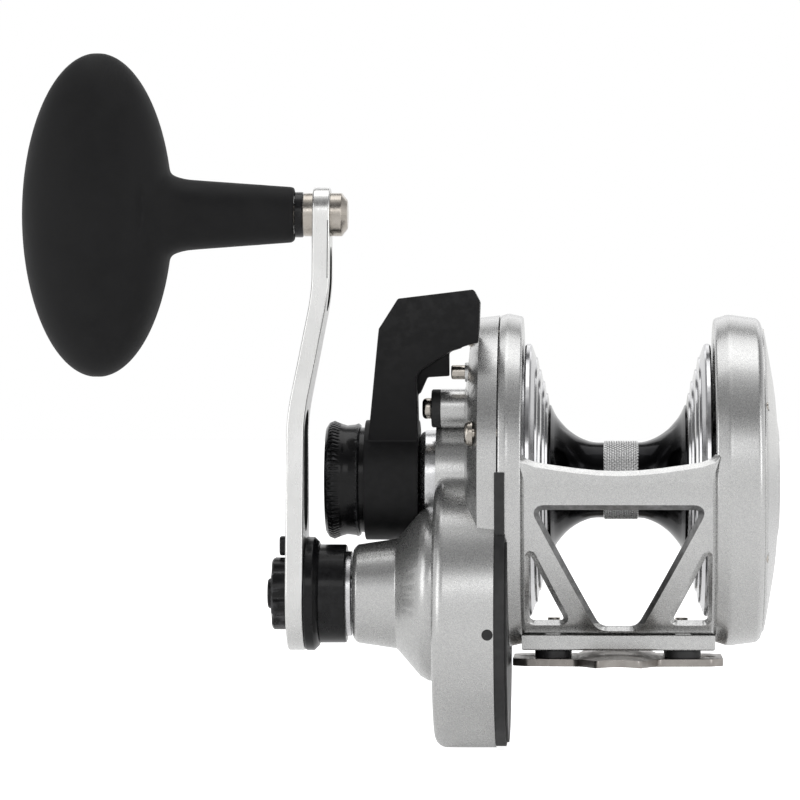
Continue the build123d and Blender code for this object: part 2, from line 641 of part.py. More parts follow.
SPINDLE_R = 3.0
PINION_T = 3.2
PINION_SLEEVE_X = (-38.6, -23.6)
PINION_BORE_X = (-39.0, -23.0)
with BuildPart() as pinion:
    for start_x, teeth in ((-34.7, HIGH_PINION_TEETH), (-38.3, LOW_PINION_TEETH)):
        with BuildSketch(across(start_x, ON_SPOOL)):
            with BuildLine():
                Polyline(*gear_outline(teeth, LINE_ANGLE + math.pi + math.pi / teeth), close=True)
            make_face()
        extrude(amount=PINION_T)
    with BuildSketch(Plane.YZ.offset(PINION_SLEEVE_X[0])):
        with Locations(ON_SPOOL):
            Circle(SLEEVE_R)
    extrude(amount=PINION_SLEEVE_X[1] - PINION_SLEEVE_X[0])
    with BuildSketch(Plane.YZ.offset(PINION_BORE_X[0])):
        with Locations(ON_SPOOL):
            Circle(SPINDLE_R + FIT)
    extrude(amount=PINION_BORE_X[1] - PINION_BORE_X[0], mode=Mode.SUBTRACT)
pinion.part.label = "pinion"
export_step(pinion.part, "parts/pinion.step")

DRAG_PLATE = [
    (-27.4, 5.0), (-27.4, 7.8), (-23.9, 7.8), (-23.9, 10.0), (-23.5, 24.0), (-21.7, 24.0), (-21.7, 5.0),
]
with BuildPart() as drag_plate:
    with BuildSketch(SPOOL_TURN):
        with BuildLine():
            Polyline(*DRAG_PLATE, close=True)
        make_face()
    revolve(axis=SPOOL_AXIS)
drag_plate.part.label = "drag_plate"
export_step(drag_plate.part, "parts/drag_plate.step")

PAWL_PIVOTS = around(ON_HANDLE, 16.4, (215, 335))
PAWL_PIN_R = 1.5
PAWL_PIN_LENGTH = 3.0
with BuildPart() as pawl_posts:
    with BuildSketch(Plane.YZ.offset(CASE_WALL_X)):
        with Locations(*PAWL_PIVOTS):
            Circle(PAWL_PIN_R)
    extrude(amount=PAWL_PIN_LENGTH)
pawl_posts.part.label = "pawl_posts"
export_step(pawl_posts.part, "parts/pawl_posts.step")

PAWL_REACH = 40.0
PAWL_R = 2.9
PAWL_LENGTH = 6.2
PAWL_HALF_WIDTH = 1.7
for number, pivot in enumerate(PAWL_PIVOTS, 1):
    inward = math.degrees(math.atan2(HANDLE_Z - pivot[1], HANDLE_Y - pivot[0]))
    reach = math.radians(inward + PAWL_REACH)
    tip = (PAWL_LENGTH * math.cos(reach), PAWL_LENGTH * math.sin(reach))
    heel = (-PAWL_HALF_WIDTH * math.sin(reach), PAWL_HALF_WIDTH * math.cos(reach))
    with BuildPart() as pawl:
        with BuildSketch(across(RATCHET_X[0], pivot)):
            Circle(PAWL_R)
            with BuildLine():
                Polyline(heel, tip, (-heel[0], -heel[1]), close=True)
            make_face()
            Circle(PAWL_PIN_R + FIT, mode=Mode.SUBTRACT)
        extrude(amount=RATCHET_X[1] - RATCHET_X[0])
    pawl.part.label = f"anti_reverse_pawl_{number}"
    export_step(pawl.part, f"parts/anti_reverse_pawl_{number}.step")

# ---------------------------------------------------------------- handle
SHAFT_X = (-78.3, -31.5, -28.9)
ROD_R = 1.5
ROD_BORE_DEPTH = 44.0
with BuildPart() as handle_shaft:
    with BuildSketch(HANDLE_TURN):
        with BuildLine():
            Polyline(
                (SHAFT_X[0], 0), (SHAFT_X[0], SHAFT_R), (SHAFT_X[1], SHAFT_R), (SHAFT_X[1], SHAFT_END_R),
                (SHAFT_X[2], SHAFT_END_R), (SHAFT_X[2], 0), close=True,
            )
        make_face()
    revolve(axis=HANDLE_AXIS)
    with BuildSketch(Plane.YZ.offset(SHAFT_X[0])):
        with Locations(ON_HANDLE):
            Circle(ROD_R + FIT)
    extrude(amount=ROD_BORE_DEPTH, mode=Mode.SUBTRACT)
handle_shaft.part.label = "handle_shaft"
export_step(handle_shaft.part, "parts/handle_shaft.step")

ARM_T = 4.15
ARM_LOW_X = -78.3
ARM_HIGH_X = -72.35
ARM_BEND_Z = (SPOOL_Z + 15.0, SPOOL_Z + 45.0)
ARM_END_R = (13.5, 6.5)
ARM_WAIST = 9.4  # half width a little above the middle
ARM_WAIST_Z = HANDLE_Z + 40
ARM_BEND_R = 28.0
ARM_REACH = (15.0, 10.0)  # side view runs past both ends
ARM_SLICE = (40.0, -60.0)
ARM_CUT = (-90.0, 40.0)
ARM_RECESS_DEPTH = 1.6
LOW_RECESS = (SPOOL_Z + 3.0, 28.0, 9.0)
HIGH_RECESS = (SPOOL_Z + 49.5, 12.0, 6.0)
PIN_R = 2.5
with BuildPart() as handle_arm:
    with BuildSketch(Plane.XZ.offset(ARM_SLICE[0])) as arm_side:
        with BuildLine():
            Polyline(
                (ARM_LOW_X, HANDLE_Z - ARM_REACH[0]), (ARM_LOW_X, ARM_BEND_Z[0]),
                (ARM_HIGH_X, ARM_BEND_Z[1]), (ARM_HIGH_X, KNOB_Z + ARM_REACH[1]),
                (ARM_HIGH_X + ARM_T, KNOB_Z + ARM_REACH[1]), (ARM_HIGH_X + ARM_T, ARM_BEND_Z[1] - 0.4),
                (ARM_LOW_X + ARM_T, ARM_BEND_Z[0] - 0.4), (ARM_LOW_X + ARM_T, HANDLE_Z - ARM_REACH[0]),
                close=True,
            )
        make_face()
        bends = [v for v in arm_side.vertices() if ARM_BEND_Z[0] - 1 < v.Z < ARM_BEND_Z[1] + 1]
        fillet(bends, ARM_BEND_R)
    extrude(amount=ARM_SLICE[1])
    with BuildSketch(Plane.YZ.offset(ARM_CUT[0])):
        with BuildLine():
            Polyline(
                (HANDLE_Y - ARM_END_R[0], HANDLE_Z), (HANDLE_Y - ARM_WAIST, ARM_WAIST_Z),
                (HANDLE_Y - ARM_END_R[1], KNOB_Z), (HANDLE_Y + ARM_END_R[1], KNOB_Z),
                (HANDLE_Y + ARM_WAIST, ARM_WAIST_Z), (HANDLE_Y + ARM_END_R[0], HANDLE_Z), close=True,
            )
        make_face()
        with Locations(ON_HANDLE):
            Circle(ARM_END_R[0])
        with Locations((HANDLE_Y, KNOB_Z)):
            Circle(ARM_END_R[1])
    extrude(amount=ARM_CUT[1], mode=Mode.INTERSECT)
    with BuildSketch(Plane.YZ.offset(ARM_CUT[0])):
        with Locations(ON_HANDLE):
            Circle(SHAFT_R)
        with Locations((HANDLE_Y, KNOB_Z)):
            Circle(PIN_R)
    extrude(amount=ARM_CUT[1], mode=Mode.SUBTRACT)
    for face_x, (middle_z, length, width) in (
        (ARM_LOW_X + ARM_T, LOW_RECESS),
        (ARM_HIGH_X + ARM_T, HIGH_RECESS),
    ):
        with BuildSketch(Plane.YZ.offset(face_x)):
            with Locations((HANDLE_Y, middle_z)):
                SlotOverall(length, width, rotation=90)
        extrude(amount=-ARM_RECESS_DEPTH, mode=Mode.SUBTRACT)
handle_arm.part.label = "handle_arm"
export_step(handle_arm.part, "parts/handle_arm.step")

HUB_FLANGE = [
    (-74.15, 4.5), (-74.15, 13.2), (-73.8, 13.5), (-72.0, 13.5), (-70.9, 12.4), (-70.7, 11.8),
    (-70.7, 4.5),
]
COLLAR_X = (-70.7, -64.3)
COLLAR_R = 11.7
RING_T = 1.15
RING_R = 10.1
with BuildPart() as hub_flange:
    with BuildSketch(HANDLE_TURN):
        with BuildLine():
            Polyline(*HUB_FLANGE, close=True)
        make_face()
    revolve(axis=HANDLE_AXIS)
hub_flange.part.label = "hub_flange"
export_step(hub_flange.part, "parts/hub_flange.step")

with BuildPart() as hub_collar:
    with BuildSketch(Plane.YZ.offset(COLLAR_X[0])):
        with Locations(ON_HANDLE):
            Circle(COLLAR_R)
            Circle(SHAFT_R, mode=Mode.SUBTRACT)
    extrude(amount=COLLAR_X[1] - COLLAR_X[0])
    chamfer(hub_collar.faces().sort_by(Axis.X)[-1].edges(), SMALL_CHAMFER)
hub_collar.part.label = "hub_collar"
export_step(hub_collar.part, "parts/hub_collar.step")

with BuildPart() as spacer_ring:
    with BuildSketch(Plane.YZ.offset(COLLAR_X[1])):
        with Locations(ON_HANDLE):
            Circle(RING_R)
            Circle(SHAFT_R, mode=Mode.SUBTRACT)
    extrude(amount=RING_T)
spacer_ring.part.label = "spacer_ring"
export_step(spacer_ring.part, "parts/spacer_ring.step")

CAP_X = (-82.0, ARM_LOW_X)
CAP_R = 8.7
CAP_SCALLOPS = (11.3, 8, 3.3)  # pitch radius, count, scallop radius
CAP_CHAMFER = 0.5
BUTTON_R = 3.6
with BuildPart() as cap_nut:
    with BuildSketch(Plane.YZ.offset(CAP_X[0])):
        with Locations(ON_HANDLE):
            Circle(CAP_R)
            with PolarLocations(CAP_SCALLOPS[0], CAP_SCALLOPS[1]):
                Circle(CAP_SCALLOPS[2], mode=Mode.SUBTRACT)
            Circle(BUTTON_R + FIT, mode=Mode.SUBTRACT)
    extrude(amount=CAP_X[1] - CAP_X[0])
    chamfer(cap_nut.faces().sort_by(Axis.X)[0].outer_wire().edges(), CAP_CHAMFER)
cap_nut.part.label = "cap_nut"
export_step(cap_nut.part, "parts/cap_nut.step")

BUTTON_X = (-83.2, -81.0)
BUTTON_EDGE_R = 0.6
ROD_LENGTH = 43.5
with BuildPart() as shift_button:
    with BuildSketch(Plane.YZ.offset(BUTTON_X[0])):
        with Locations(ON_HANDLE):
            Circle(BUTTON_R)
    extrude(amount=BUTTON_X[1] - BUTTON_X[0])
    fillet(shift_button.faces().sort_by(Axis.X)[0].edges(), BUTTON_EDGE_R)
    with BuildSketch(Plane.YZ.offset(BUTTON_X[1])):
        with Locations(ON_HANDLE):
            Circle(ROD_R)
    extrude(amount=ROD_LENGTH)
shift_button.part.label = "shift_button"
export_step(shift_button.part, "parts/shift_button.step")

RELEASE_Z = HANDLE_Z + 11.35
RELEASE_SIZE = (4.8, 4.6, 1.2)  # width, height, corner radius
RELEASE_T = 2.0
with BuildPart() as shift_release:
    with BuildSketch(Plane.YZ.offset(ARM_LOW_X - FIT)):
        with Locations((HANDLE_Y, RELEASE_Z)):
            RectangleRounded(*RELEASE_SIZE)
    extrude(amount=-RELEASE_T)
    fillet(shift_release.faces().sort_by(Axis.X)[0].edges(), 0.5)
shift_release.part.label = "shift_release"
export_step(shift_release.part, "parts/shift_release.step")

# ---------------------------------------------------------------- knob
KNOB_X = -124.0
KNOB_SEMI = (18.0, 38.7)
KNOB_OUTLINE = [
    (KNOB_SEMI[0] * math.cos(math.radians(a)), KNOB_SEMI[1] * math.sin(math.radians(a)))
    for a in (-85, -75, -60, -45, -30, -15, 0, 15, 30, 45, 60, 75, 85)
]
STEM_X = (-112.0, -76.7)
STEM_END_R = 6.6
STEM_BORE_R = 4.6
STEM_BORE_X = -110.7
STEM_FLARE = [(-112.0, 15.2), (-109.4, 12.0), (-107.2, 10.2), (-104.6, 9.0), (-101.6, 8.4)]
with BuildPart() as knob_grip:
    with BuildSketch(Plane((KNOB_X, HANDLE_Y, KNOB_Z), x_dir=(-1, 0, 0), z_dir=(0, 1, 0))):
        with BuildLine():
            Spline(*KNOB_OUTLINE)
            Polyline(KNOB_OUTLINE[-1], (0, KNOB_OUTLINE[-1][1]), (0, KNOB_OUTLINE[0][1]), KNOB_OUTLINE[0])
        make_face()
    revolve(axis=Axis((KNOB_X, HANDLE_Y, KNOB_Z), (0, 0, 1)))
    with BuildSketch(KNOB_TURN):
        with BuildLine():
            Spline(*STEM_FLARE)
            Polyline(STEM_FLARE[-1], (STEM_X[1], STEM_END_R), (STEM_X[1], 0), (STEM_X[0], 0), STEM_FLARE[0])
        make_face()
    revolve(axis=KNOB_AXIS)
    with BuildSketch(KNOB_TURN):
        with BuildLine():
            Polyline(
                (STEM_BORE_X, 0), (STEM_BORE_X, STEM_BORE_R), (STEM_X[1], STEM_BORE_R), (STEM_X[1], 0),
                close=True,
            )
        make_face()
    revolve(axis=KNOB_AXIS, mode=Mode.SUBTRACT)
knob_grip.part.label = "knob_grip"
export_step(knob_grip.part, "parts/knob_grip.step")

KNOB_BEARING_X = (-109.0, -80.6)
KNOB_BEARING_T = 3.6
with BuildPart() as knob_bearings:
    for start_x in KNOB_BEARING_X:
        with BuildSketch(Plane.YZ.offset(start_x)):
            with Locations((HANDLE_Y, KNOB_Z)):
                Circle(STEM_BORE_R)
                Circle(PIN_R + FIT, mode=Mode.SUBTRACT)
        extrude(amount=KNOB_BEARING_T)
knob_bearings.part.label = "knob_bearings"
export_step(knob_bearings.part, "parts/knob_bearings.step")

KNOB_COLLAR_R = 5.4
KNOB_COLLAR_T = 1.9
with BuildPart() as knob_collar:
    with BuildSketch(Plane.YZ.offset(STEM_X[1])):
        with Locations((HANDLE_Y, KNOB_Z)):
            Circle(KNOB_COLLAR_R)
            Circle(PIN_R + FIT, mode=Mode.SUBTRACT)
    extrude(amount=KNOB_COLLAR_T)
knob_collar.part.label = "knob_collar"
export_step(knob_collar.part, "parts/knob_collar.step")

PIN_X = (-110.0, -66.8)
WASHER_X = -74.6
WASHER_R = 5.15
with BuildPart() as knob_pin:
    with BuildSketch(Plane.YZ.offset(PIN_X[0])):
        with Locations((HANDLE_Y, KNOB_Z)):
            Circle(PIN_R)
    extrude(amount=PIN_X[1] - PIN_X[0])
    with BuildSketch(Plane.YZ.offset(WASHER_X)):
        with Locations((HANDLE_Y, KNOB_Z)):
            Circle(WASHER_R)
    extrude(amount=ARM_HIGH_X - WASHER_X)
knob_pin.part.label = "knob_pin"
export_step(knob_pin.part, "parts/knob_pin.step")

NUT = [
    (-68.2, 2.5), (-68.2, 5.15), (-65.6, 5.15), (-65.0, 4.4), (-64.2, 3.4), (-64.2, 0), (-66.8, 0),
    (-66.8, 2.5),
]
with BuildPart() as knob_nut:
    with BuildSketch(KNOB_TURN):
        with BuildLine():
            Polyline(*NUT, close=True)
        make_face()
    revolve(axis=KNOB_AXIS)
knob_nut.part.label = "knob_nut"
export_step(knob_nut.part, "parts/knob_nut.step")

# ---------------------------------------------------------------- drag lever, preset knob, spindle
HUB_DISC = [
    (-57.8, 3.05), (-57.8, 6.0), (-47.4, 6.0), (-47.4, 10.4), (-46.9, 11.3), (-45.9, 11.9),
    (-43.3, 11.9), (-43.3, 8.0), (-41.5, 8.0), (-41.5, 3.05),
]
with BuildPart() as lever_hub_disc:
    with BuildSketch(SPOOL_TURN):
        with BuildLine():
            Polyline(*HUB_DISC, close=True)
        make_face()
    revolve(axis=SPOOL_AXIS)
lever_hub_disc.part.label = "lever_hub_disc"
export_step(lever_hub_disc.part, "parts/lever_hub_disc.step")

LEVER_LEAN = 32.0
LEVER_X = (-60.5, -47.55)
LEVER_HUB_R = 14.4
LEVER_T = (4.2, 4.4)
WEB_FRONT = -0.6
LEVER_SLICE = 60.0
LEVER_FIELD = (-45.0, 40.0, 60.0, 80.0)  # centre and size of the slab before it is cut to outline
LEVER_DISH_R = 13.0
LEVER_DISH_DEPTH = 1.3
NOSE_R = 6.0
LEVER_OUTLINE = [
    (-60.3, 0), (-59.0, 13.4), (-56.4, 33.8), (-56.1, 35.9), (-51.4, 42.9), (-33.7, 45.0), (-32.3, 42.3),
    (-32.8, 32.6), (-34.2, 32.4), (-36.6, 31.6), (-39.2, 30.8), (-46.6, 26.2), (-47.55, 24.6), (-47.55, 0),
]
WEB_OUTLINE = [
    (-52.0, 36.0), (-37.4, 36.0), (-39.9, 30.8), (-40.0, 24.9), (-45.2, 24.6), (-46.9, 21.0), (-52.0, 17.0),
]
PLATE_KEEP_OUT = [(-30.0, 0), (-30.0, 40.6), (-33.6, 40.6), (-36.9, 39.4), (-36.9, 0)]
with BuildPart() as lever_web:
    with BuildSketch(Plane.XZ.offset(LEVER_SLICE)):
        with BuildLine():
            Polyline(*[(x, SPOOL_Z + z) for x, z in WEB_OUTLINE], close=True)
        make_face()
    extrude(amount=-2 * LEVER_SLICE)
    with BuildSketch(SPOOL_TURN.rotated((LEVER_LEAN, 0, 0)).offset(WEB_FRONT)):
        with Locations(LEVER_FIELD[:2]):
            Rectangle(*LEVER_FIELD[2:])
    extrude(amount=-LEVER_T[1] - WEB_FRONT, mode=Mode.INTERSECT)
with BuildPart() as drag_lever:
    with BuildSketch(Plane.XZ.offset(LEVER_SLICE)):
        with BuildLine():
            Polyline(*[(x, SPOOL_Z + z) for x, z in LEVER_OUTLINE], close=True)
        make_face()
    extrude(amount=-2 * LEVER_SLICE)
    with BuildSketch(SPOOL_TURN.rotated((LEVER_LEAN, 0, 0)).offset(LEVER_T[0])):
        with Locations(LEVER_FIELD[:2]):
            Rectangle(*LEVER_FIELD[2:])
    extrude(amount=-LEVER_T[0] - LEVER_T[1], mode=Mode.INTERSECT)
    add(lever_web.part)
    with BuildSketch(SPOOL_TURN):
        with BuildLine():
            Polyline(*PLATE_KEEP_OUT, close=True)
        make_face()
    revolve(axis=SPOOL_AXIS, mode=Mode.SUBTRACT)
    with BuildSketch(Plane.YZ.offset(LEVER_X[0])):
        with Locations(ON_SPOOL):
            Circle(LEVER_HUB_R)
    extrude(amount=LEVER_X[1] - LEVER_X[0])
    with BuildSketch(Plane.YZ.offset(LEVER_X[0])):
        with Locations(ON_SPOOL):
            Circle(LEVER_DISH_R)
    extrude(amount=LEVER_DISH_DEPTH, mode=Mode.SUBTRACT)
    with BuildSketch(Plane.YZ.offset(LEVER_X[0])):
        with Locations(ON_SPOOL):
            Circle(NOSE_R + FIT)
    extrude(amount=LEVER_X[1] - LEVER_X[0], mode=Mode.SUBTRACT)
drag_lever.part.label = "drag_lever"
export_step(drag_lever.part, "parts/drag_lever.step")

PRESET = [
    (-69.9, 0), (-69.9, 12.6), (-69.2, 13.7), (-68.0, 14.2), (-66.6, 13.6), (-64.9, 13.1), (-63.1, 13.3),
    (-62.2, 13.6), (-61.7, 13.2), (-61.7, 12.6), (-60.1, 12.6), (-60.1, 7.6), (-65.4, 7.6), (-65.4, 0),
]
PRESET_RIDGES = 72
RIDGE_R = 14.05
RIDGE_CUT = (1.1, 0.5)
RIDGE_X = (-69.0, -62.4)
PRESET_BORE_X = (-67.9, -64.9)
with BuildPart() as preset_knob:
    with BuildSketch(SPOOL_TURN):
        with BuildLine():
            Polyline(*PRESET, close=True)
        make_face()
    revolve(axis=SPOOL_AXIS)
    with BuildSketch(Plane.YZ.offset(RIDGE_X[0])):
        with Locations(ON_SPOOL):
            with PolarLocations(RIDGE_R, PRESET_RIDGES):
                Rectangle(*RIDGE_CUT)
    extrude(amount=RIDGE_X[1] - RIDGE_X[0], mode=Mode.SUBTRACT)
    with BuildSketch(Plane.YZ.offset(PRESET_BORE_X[0])):
        with Locations(ON_SPOOL):
            Circle(SPINDLE_R + FIT)
    extrude(amount=PRESET_BORE_X[1] - PRESET_BORE_X[0], mode=Mode.SUBTRACT)
preset_knob.part.label = "preset_knob"
export_step(preset_knob.part, "parts/preset_knob.step")

SPRING_R = (3.4, 7.2)
SPRING_T = 0.8
SPRING_DISH = 1.6
with BuildPart() as preset_springs:
    with BuildSketch(SPOOL_TURN):
        for inner_x, outer_x in ((-65.4, -65.4 + SPRING_DISH), (-62.9 + SPRING_DISH, -62.9)):
            with BuildLine():
                Polyline(
                    (inner_x, SPRING_R[0]), (inner_x + SPRING_T, SPRING_R[0]),
                    (outer_x + SPRING_T, SPRING_R[1]), (outer_x, SPRING_R[1]), close=True,
                )
            make_face()
    revolve(axis=SPOOL_AXIS)
preset_springs.part.label = "preset_springs"
export_step(preset_springs.part, "parts/preset_springs.step")

SPINDLE_X = (-67.4, 35.2)
with BuildPart() as spindle:
    with BuildSketch(Plane.YZ.offset(SPINDLE_X[0])):
        with Locations(ON_SPOOL):
            Circle(SPINDLE_R)
    extrude(amount=SPINDLE_X[1] - SPINDLE_X[0])
    chamfer(spindle.faces().sort_by(Axis.X)[-1].edges(), SMALL_CHAMFER)
spindle.part.label = "spindle"
export_step(spindle.part, "parts/spindle.step")

# ---------------------------------------------------------------- spool
SPOOL_R = 32.7
FACE_X = 22.1
HALF_DISH = [
    (20.5, 32.4), (19.3, 29.5), (18.5, 26.6), (17.6, 23.8), (16.9, 20.9), (16.1, 18.0), (14.6, 15.1),
    (12.1, 12.2), (9.4, 10.3), (6.6, 9.2),
]
BAND = [(4.9, 9.1), (4.9, 9.4), (-3.4, 9.4), (-3.4, 9.1)]
DRUM_R = (25.0, 27.5)
DRUM_X = -26.9
RECESS_X = -19.2
CLICK_RECESS_R = 22.0
CLICK_RECESS_X = 19.4
SPOOL_BORE_R = 4.2
SPOOL_BEARING_R = 8.0
SPOOL_PROFILE = (
    [(RECESS_X, SPOOL_BORE_R), (RECESS_X, DRUM_R[0]), (DRUM_X, DRUM_R[0]), (DRUM_X, DRUM_R[1])]
    + [(-FACE_X, DRUM_R[1]), (-FACE_X, SPOOL_R - 0.4), (-FACE_X + 0.4, SPOOL_R), (-20.9, SPOOL_R)]
    + [(-x, r) for x, r in HALF_DISH]
    + [(x, r) for x, r in reversed(BAND)]
    + [(x, r) for x, r in reversed(HALF_DISH)]
    + [(20.9, SPOOL_R), (FACE_X - 0.4, SPOOL_R), (FACE_X, SPOOL_R - 0.4), (FACE_X, CLICK_RECESS_R)]
    + [(CLICK_RECESS_X, CLICK_RECESS_R), (CLICK_RECESS_X, SPOOL_BORE_R)]
)
BEARING_POCKET = 4.6
with BuildPart() as spool:
    with BuildSketch(SPOOL_TURN):
        with BuildLine():
            Polyline(*SPOOL_PROFILE, close=True)
        make_face()
    revolve(axis=SPOOL_AXIS)
    with BuildSketch(Plane.YZ.offset(RECESS_X)):
        with Locations(ON_SPOOL):
            Circle(SPOOL_BEARING_R)
    extrude(amount=BEARING_POCKET, mode=Mode.SUBTRACT)
    with BuildSketch(Plane.YZ.offset(CLICK_RECESS_X)):
        with Locations(ON_SPOOL):
            Circle(SPOOL_BEARING_R)
    extrude(amount=-BEARING_POCKET, mode=Mode.SUBTRACT)
spool.part.label = "spool"
export_step(spool.part, "parts/spool.step")

with BuildPart() as spool_bearings:
    for start_x, depth in ((RECESS_X, BEARING_POCKET), (CLICK_RECESS_X, -BEARING_POCKET)):
        with BuildSketch(Plane.YZ.offset(start_x)):
            with Locations(ON_SPOOL):
                Circle(SPOOL_BEARING_R)
                Circle(SPINDLE_R + FIT, mode=Mode.SUBTRACT)
        extrude(amount=depth)
spool_bearings.part.label = "spool_bearings"
export_step(spool_bearings.part, "parts/spool_bearings.step")

WASHER_RING = (24.6, 9.0)
WASHER_T = 2.2
with BuildPart() as drag_washer:
    with BuildSketch(Plane.YZ.offset(RECESS_X)):
        with Locations(ON_SPOOL):
            Circle(WASHER_RING[0])
            Circle(WASHER_RING[1], mode=Mode.SUBTRACT)
    extrude(amount=-WASHER_T)
drag_washer.part.label = "drag_washer"
export_step(drag_washer.part, "parts/drag_washer.step")

COVER_BORE_R = 8.6
COVER_T = 1.4
with BuildPart() as drag_cover:
    with BuildSketch(Plane.YZ.offset(DRUM_X)):
        with Locations(ON_SPOOL):
            Circle(DRUM_R[0])
            Circle(COVER_BORE_R, mode=Mode.SUBTRACT)
    extrude(amount=COVER_T)
drag_cover.part.label = "drag_cover"
export_step(drag_cover.part, "parts/drag_cover.step")

CLICK_WHEEL_R = 14.4
CLICK_TEETH = 24
CLICK_TOOTH = 1.2
CLICK_WHEEL_T = 1.8
with BuildPart() as click_wheel:
    with BuildSketch(across(CLICK_RECESS_X, ON_SPOOL)):
        with BuildLine():
            Polyline(*ratchet_outline(CLICK_TEETH, CLICK_WHEEL_R, CLICK_WHEEL_R - CLICK_TOOTH), close=True)
        make_face()
        Circle(SPOOL_BORE_R, mode=Mode.SUBTRACT)
    extrude(amount=CLICK_WHEEL_T)
click_wheel.part.label = "click_wheel"
export_step(click_wheel.part, "parts/click_wheel.step")

# ---------------------------------------------------------------- palm side
PALM_OUT = [
    (34.1, 36.6), (34.4, 36.6), (34.8, 35.9), (35.5, 32.4), (36.0, 29.5), (36.5, 26.6), (37.0, 23.8),
    (37.4, 20.9), (37.7, 18.0), (37.9, 15.1), (38.4, 12.2), (38.6, 5.0), (38.8, 0),
]
PALM_IN = [
    (36.4, 0), (36.4, 3.05), (24.6, 3.05), (24.6, 7.0), (34.0, 9.5), (34.8, 20.0), (33.3, 31.0),
    (32.6, 33.4), (34.1, 33.4),
]
CLICK_ANGLE = 40.0
CLICK_SLIDE_R = 19.5
CLICK_TRAVEL = 3.0
CLICK_PIN_R = 1.6
CLICK_BUTTON_R = 4.2
CLICK_POCKET_X = 36.6
CLICK_BUTTON_GAP = 0.3
CLICK_SLOT = CLICK_TRAVEL + 0.2
CLICK_CUT_X = 30.0
CLICK_CUT = 10.0
CLICK_BUTTON_T = 1.4
CLICK_PIN_X = 20.0
PALM_SEAT_X = 34.1
PALM_HOLE_DEPTH = 3.0
PALM_HEAD_X = 34.95
PALM_HEX_R = 0.75
PALM_HEX_DEPTH = 0.8
PALM_SCREW_LENGTH = 5.4
with BuildPart() as palm_side_plate:
    with BuildSketch(SPOOL_TURN):
        with BuildLine():
            Polyline(*(PALM_OUT + PALM_IN), close=True)
        make_face()
    revolve(axis=SPOOL_AXIS)
    with BuildSketch(Plane.YZ.offset(CLICK_CUT_X)):
        with Locations(*around(ON_SPOOL, CLICK_SLIDE_R - CLICK_TRAVEL / 2, (CLICK_ANGLE,))):
            SlotCenterToCenter(CLICK_SLOT, 2 * (CLICK_PIN_R + FIT), rotation=CLICK_ANGLE)
    extrude(amount=CLICK_CUT, mode=Mode.SUBTRACT)
    with BuildSketch(Plane.YZ.offset(CLICK_POCKET_X)):
        with Locations(*around(ON_SPOOL, CLICK_SLIDE_R - CLICK_TRAVEL / 2, (CLICK_ANGLE,))):
            SlotCenterToCenter(CLICK_SLOT, 2 * (CLICK_BUTTON_R + CLICK_BUTTON_GAP), rotation=CLICK_ANGLE)
    extrude(amount=CLICK_CUT, mode=Mode.SUBTRACT)
    with BuildSketch(Plane.YZ.offset(PALM_SEAT_X)):
        with Locations(*PALM_SCREWS):
            Circle(SCREW_R)
    extrude(amount=PALM_HOLE_DEPTH, both=True, mode=Mode.SUBTRACT)
palm_side_plate.part.label = "palm_side_plate"
export_step(palm_side_plate.part, "parts/palm_side_plate.step")

with BuildPart() as palm_plate_screws:
    with BuildSketch(Plane.YZ.offset(PALM_HEAD_X)):
        with Locations(*PALM_SCREWS):
            Circle(SCREW_R - FIT)
    extrude(amount=-PALM_SCREW_LENGTH)
    with BuildSketch(Plane.YZ.offset(PALM_HEAD_X)):
        with Locations(*PALM_SCREWS):
            RegularPolygon(PALM_HEX_R, 6)
    extrude(amount=-PALM_HEX_DEPTH, mode=Mode.SUBTRACT)
palm_plate_screws.part.label = "palm_plate_screws"
export_step(palm_plate_screws.part, "parts/palm_plate_screws.step")

with BuildPart() as clicker_button:
    with BuildSketch(Plane.YZ.offset(CLICK_POCKET_X + 2 * FIT)):
        with Locations(*around(ON_SPOOL, CLICK_SLIDE_R, (CLICK_ANGLE,))):
            Circle(CLICK_BUTTON_R)
    extrude(amount=CLICK_BUTTON_T)
    fillet(clicker_button.faces().sort_by(Axis.X)[-1].edges(), 0.5)
    with BuildSketch(Plane.YZ.offset(CLICK_PIN_X)):
        with Locations(*around(ON_SPOOL, CLICK_SLIDE_R, (CLICK_ANGLE,))):
            Circle(CLICK_PIN_R)
    extrude(amount=CLICK_POCKET_X + 4 * FIT - CLICK_PIN_X)
clicker_button.part.label = "clicker_button"
export_step(clicker_button.part, "parts/clicker_button.step")
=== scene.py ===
import json
import math

import bmesh
import bpy
from mathutils import Matrix, Vector

